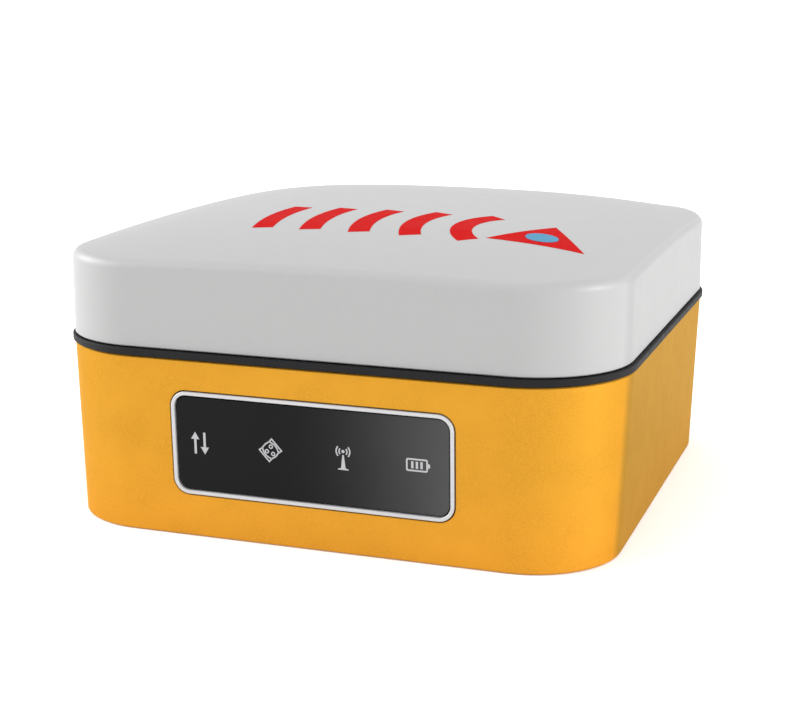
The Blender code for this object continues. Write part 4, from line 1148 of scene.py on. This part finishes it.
def make_plate():
    half, bottom, top = half_size("rating_plate"), low("rating_plate").z, high("rating_plate").z
    line_in, line_width, line_depth, slope = 0.0014, 0.0004, 0.00008, 0.0001
    section = ((top, 0.0), (bottom + line_depth, 0.0), (bottom, line_depth), (bottom, line_in),
               (bottom + line_depth, line_in + slope), (bottom + line_depth, line_in + line_width),
               (bottom, line_in + line_width + slope))
    plate = slab(half.x, half.y, 0.0018, section, along_z(middle("rating_plate")), 6)
    piece("blank_plate", plate, "plate_metal", "rating_plate")


# ---- carried-over nodes
CARRIED = {
    "circuit_board": ["indicator_board", "button_board", "main_board", "antenna_ground_plane"],
    "nickel": ["gnss_module", "radio_module", "amplifier_shield", "antenna_jack_nut",
               *numbered("antenna_screw")],
    "brass": ["battery_contact_block", *numbered("antenna_standoff")],
    "steel": ["latch_strike", "door_latch_cam"],
    "patch_ceramic": ["antenna_patch_lower", "antenna_patch_upper"],
    "black_plastic": ["battery_bay", "speaker", "button_switch", "antenna_lead"],
    "light_guide_clear": ["light_guide"],
    "led_body": numbered("indicator_led"),
}


def finish_carried_nodes():
    for slot, nodes in CARRIED.items():
        for name in nodes:
            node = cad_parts[name]
            for material_slot in node.material_slots:
                material_slot.material = FINISHES[slot].material


# ---- studio
FLOOR_HALF, FLOOR_GLOW = 60.0, 0.10
WORLD_STRENGTH = 1.145
SUNS = (                  # name, azimuth from front to right, elevation and spread in degrees, strength
    ("right", 90, 16, 24, 2.44),
    ("left", -62, 30, 30, 1.04),
    ("left_rim", -92, 20, 30, 2.02),
)
CAMERA_LENS, CAMERA_SENSOR = 71.82, 36.0      # millimetres
CAMERA_PLACE = Vector((0.14712, -0.42587, 0.13822))
CAMERA_TARGET = Vector((0.00612, -0.02437, 0.03777))


def make_floor():
    bm = bmesh.new()
    bmesh.ops.create_grid(bm, x_segments=1, y_segments=1, size=FLOOR_HALF, matrix=at(0, 0, -0.0002))
    floor = solid("floor", bm)
    paper = Finish("floor_paper", (0.92, 0.92, 0.92), 0.9)
    paper.tint(paper.noise(0.4, 2), 0.3, 0.7, (0.915, 0.915, 0.915))
    paper.shader.inputs["Emission Color"].default_value = (1.0, 1.0, 1.0, 1.0)
    paper.shader.inputs["Emission Strength"].default_value = FLOOR_GLOW
    floor.data.materials.append(paper.material)


def make_lights():
    scene = bpy.context.scene
    world = bpy.data.worlds.new("studio")
    world.use_nodes = True
    background = world.node_tree.nodes["Background"]
    background.inputs["Color"].default_value = (1, 1, 1, 1)
    background.inputs["Strength"].default_value = WORLD_STRENGTH
    scene.world = world
    for name, azimuth, elevation, spread, strength in SUNS:
        sun = bpy.data.lights.new(name, "SUN")
        sun.energy = strength
        sun.angle = radians(spread)
        across, up = radians(azimuth), radians(elevation)
        towards = Vector((sin(across) * cos(up), -cos(across) * cos(up), sin(up)))
        lamp = bpy.data.objects.new(name, sun)
        lamp.rotation_euler = towards.to_track_quat("Z", "Y").to_euler()
        scene.collection.objects.link(lamp)
    scene.view_settings.view_transform = "Standard"
    scene.view_settings.look = "None"


def make_camera():
    camera = bpy.data.cameras.new("camera")
    camera.lens = CAMERA_LENS
    camera.sensor_width = CAMERA_SENSOR
    camera.clip_start, camera.clip_end = 0.01, 200.0
    seen = bpy.data.objects.new("camera", camera)
    seen.location = CAMERA_PLACE
    seen.rotation_euler = (CAMERA_TARGET - CAMERA_PLACE).to_track_quat("-Z", "Y").to_euler()
    bpy.context.scene.collection.objects.link(seen)
    bpy.context.scene.camera = seen


make_housing()
make_band()
make_top_mark(make_cover())
make_panel()
make_door()
make_latch()
make_bay()
make_port("data_port", 7, 0.00045)
make_port("power_port", 3, 0.00065)
make_cap("data_port_cap", 2)
make_cap("power_port_cap", 1)
make_button()
make_pole_insert()
make_jack()
make_screws()
make_plate()
finish_carried_nodes()
make_floor()
make_lights()
make_camera()
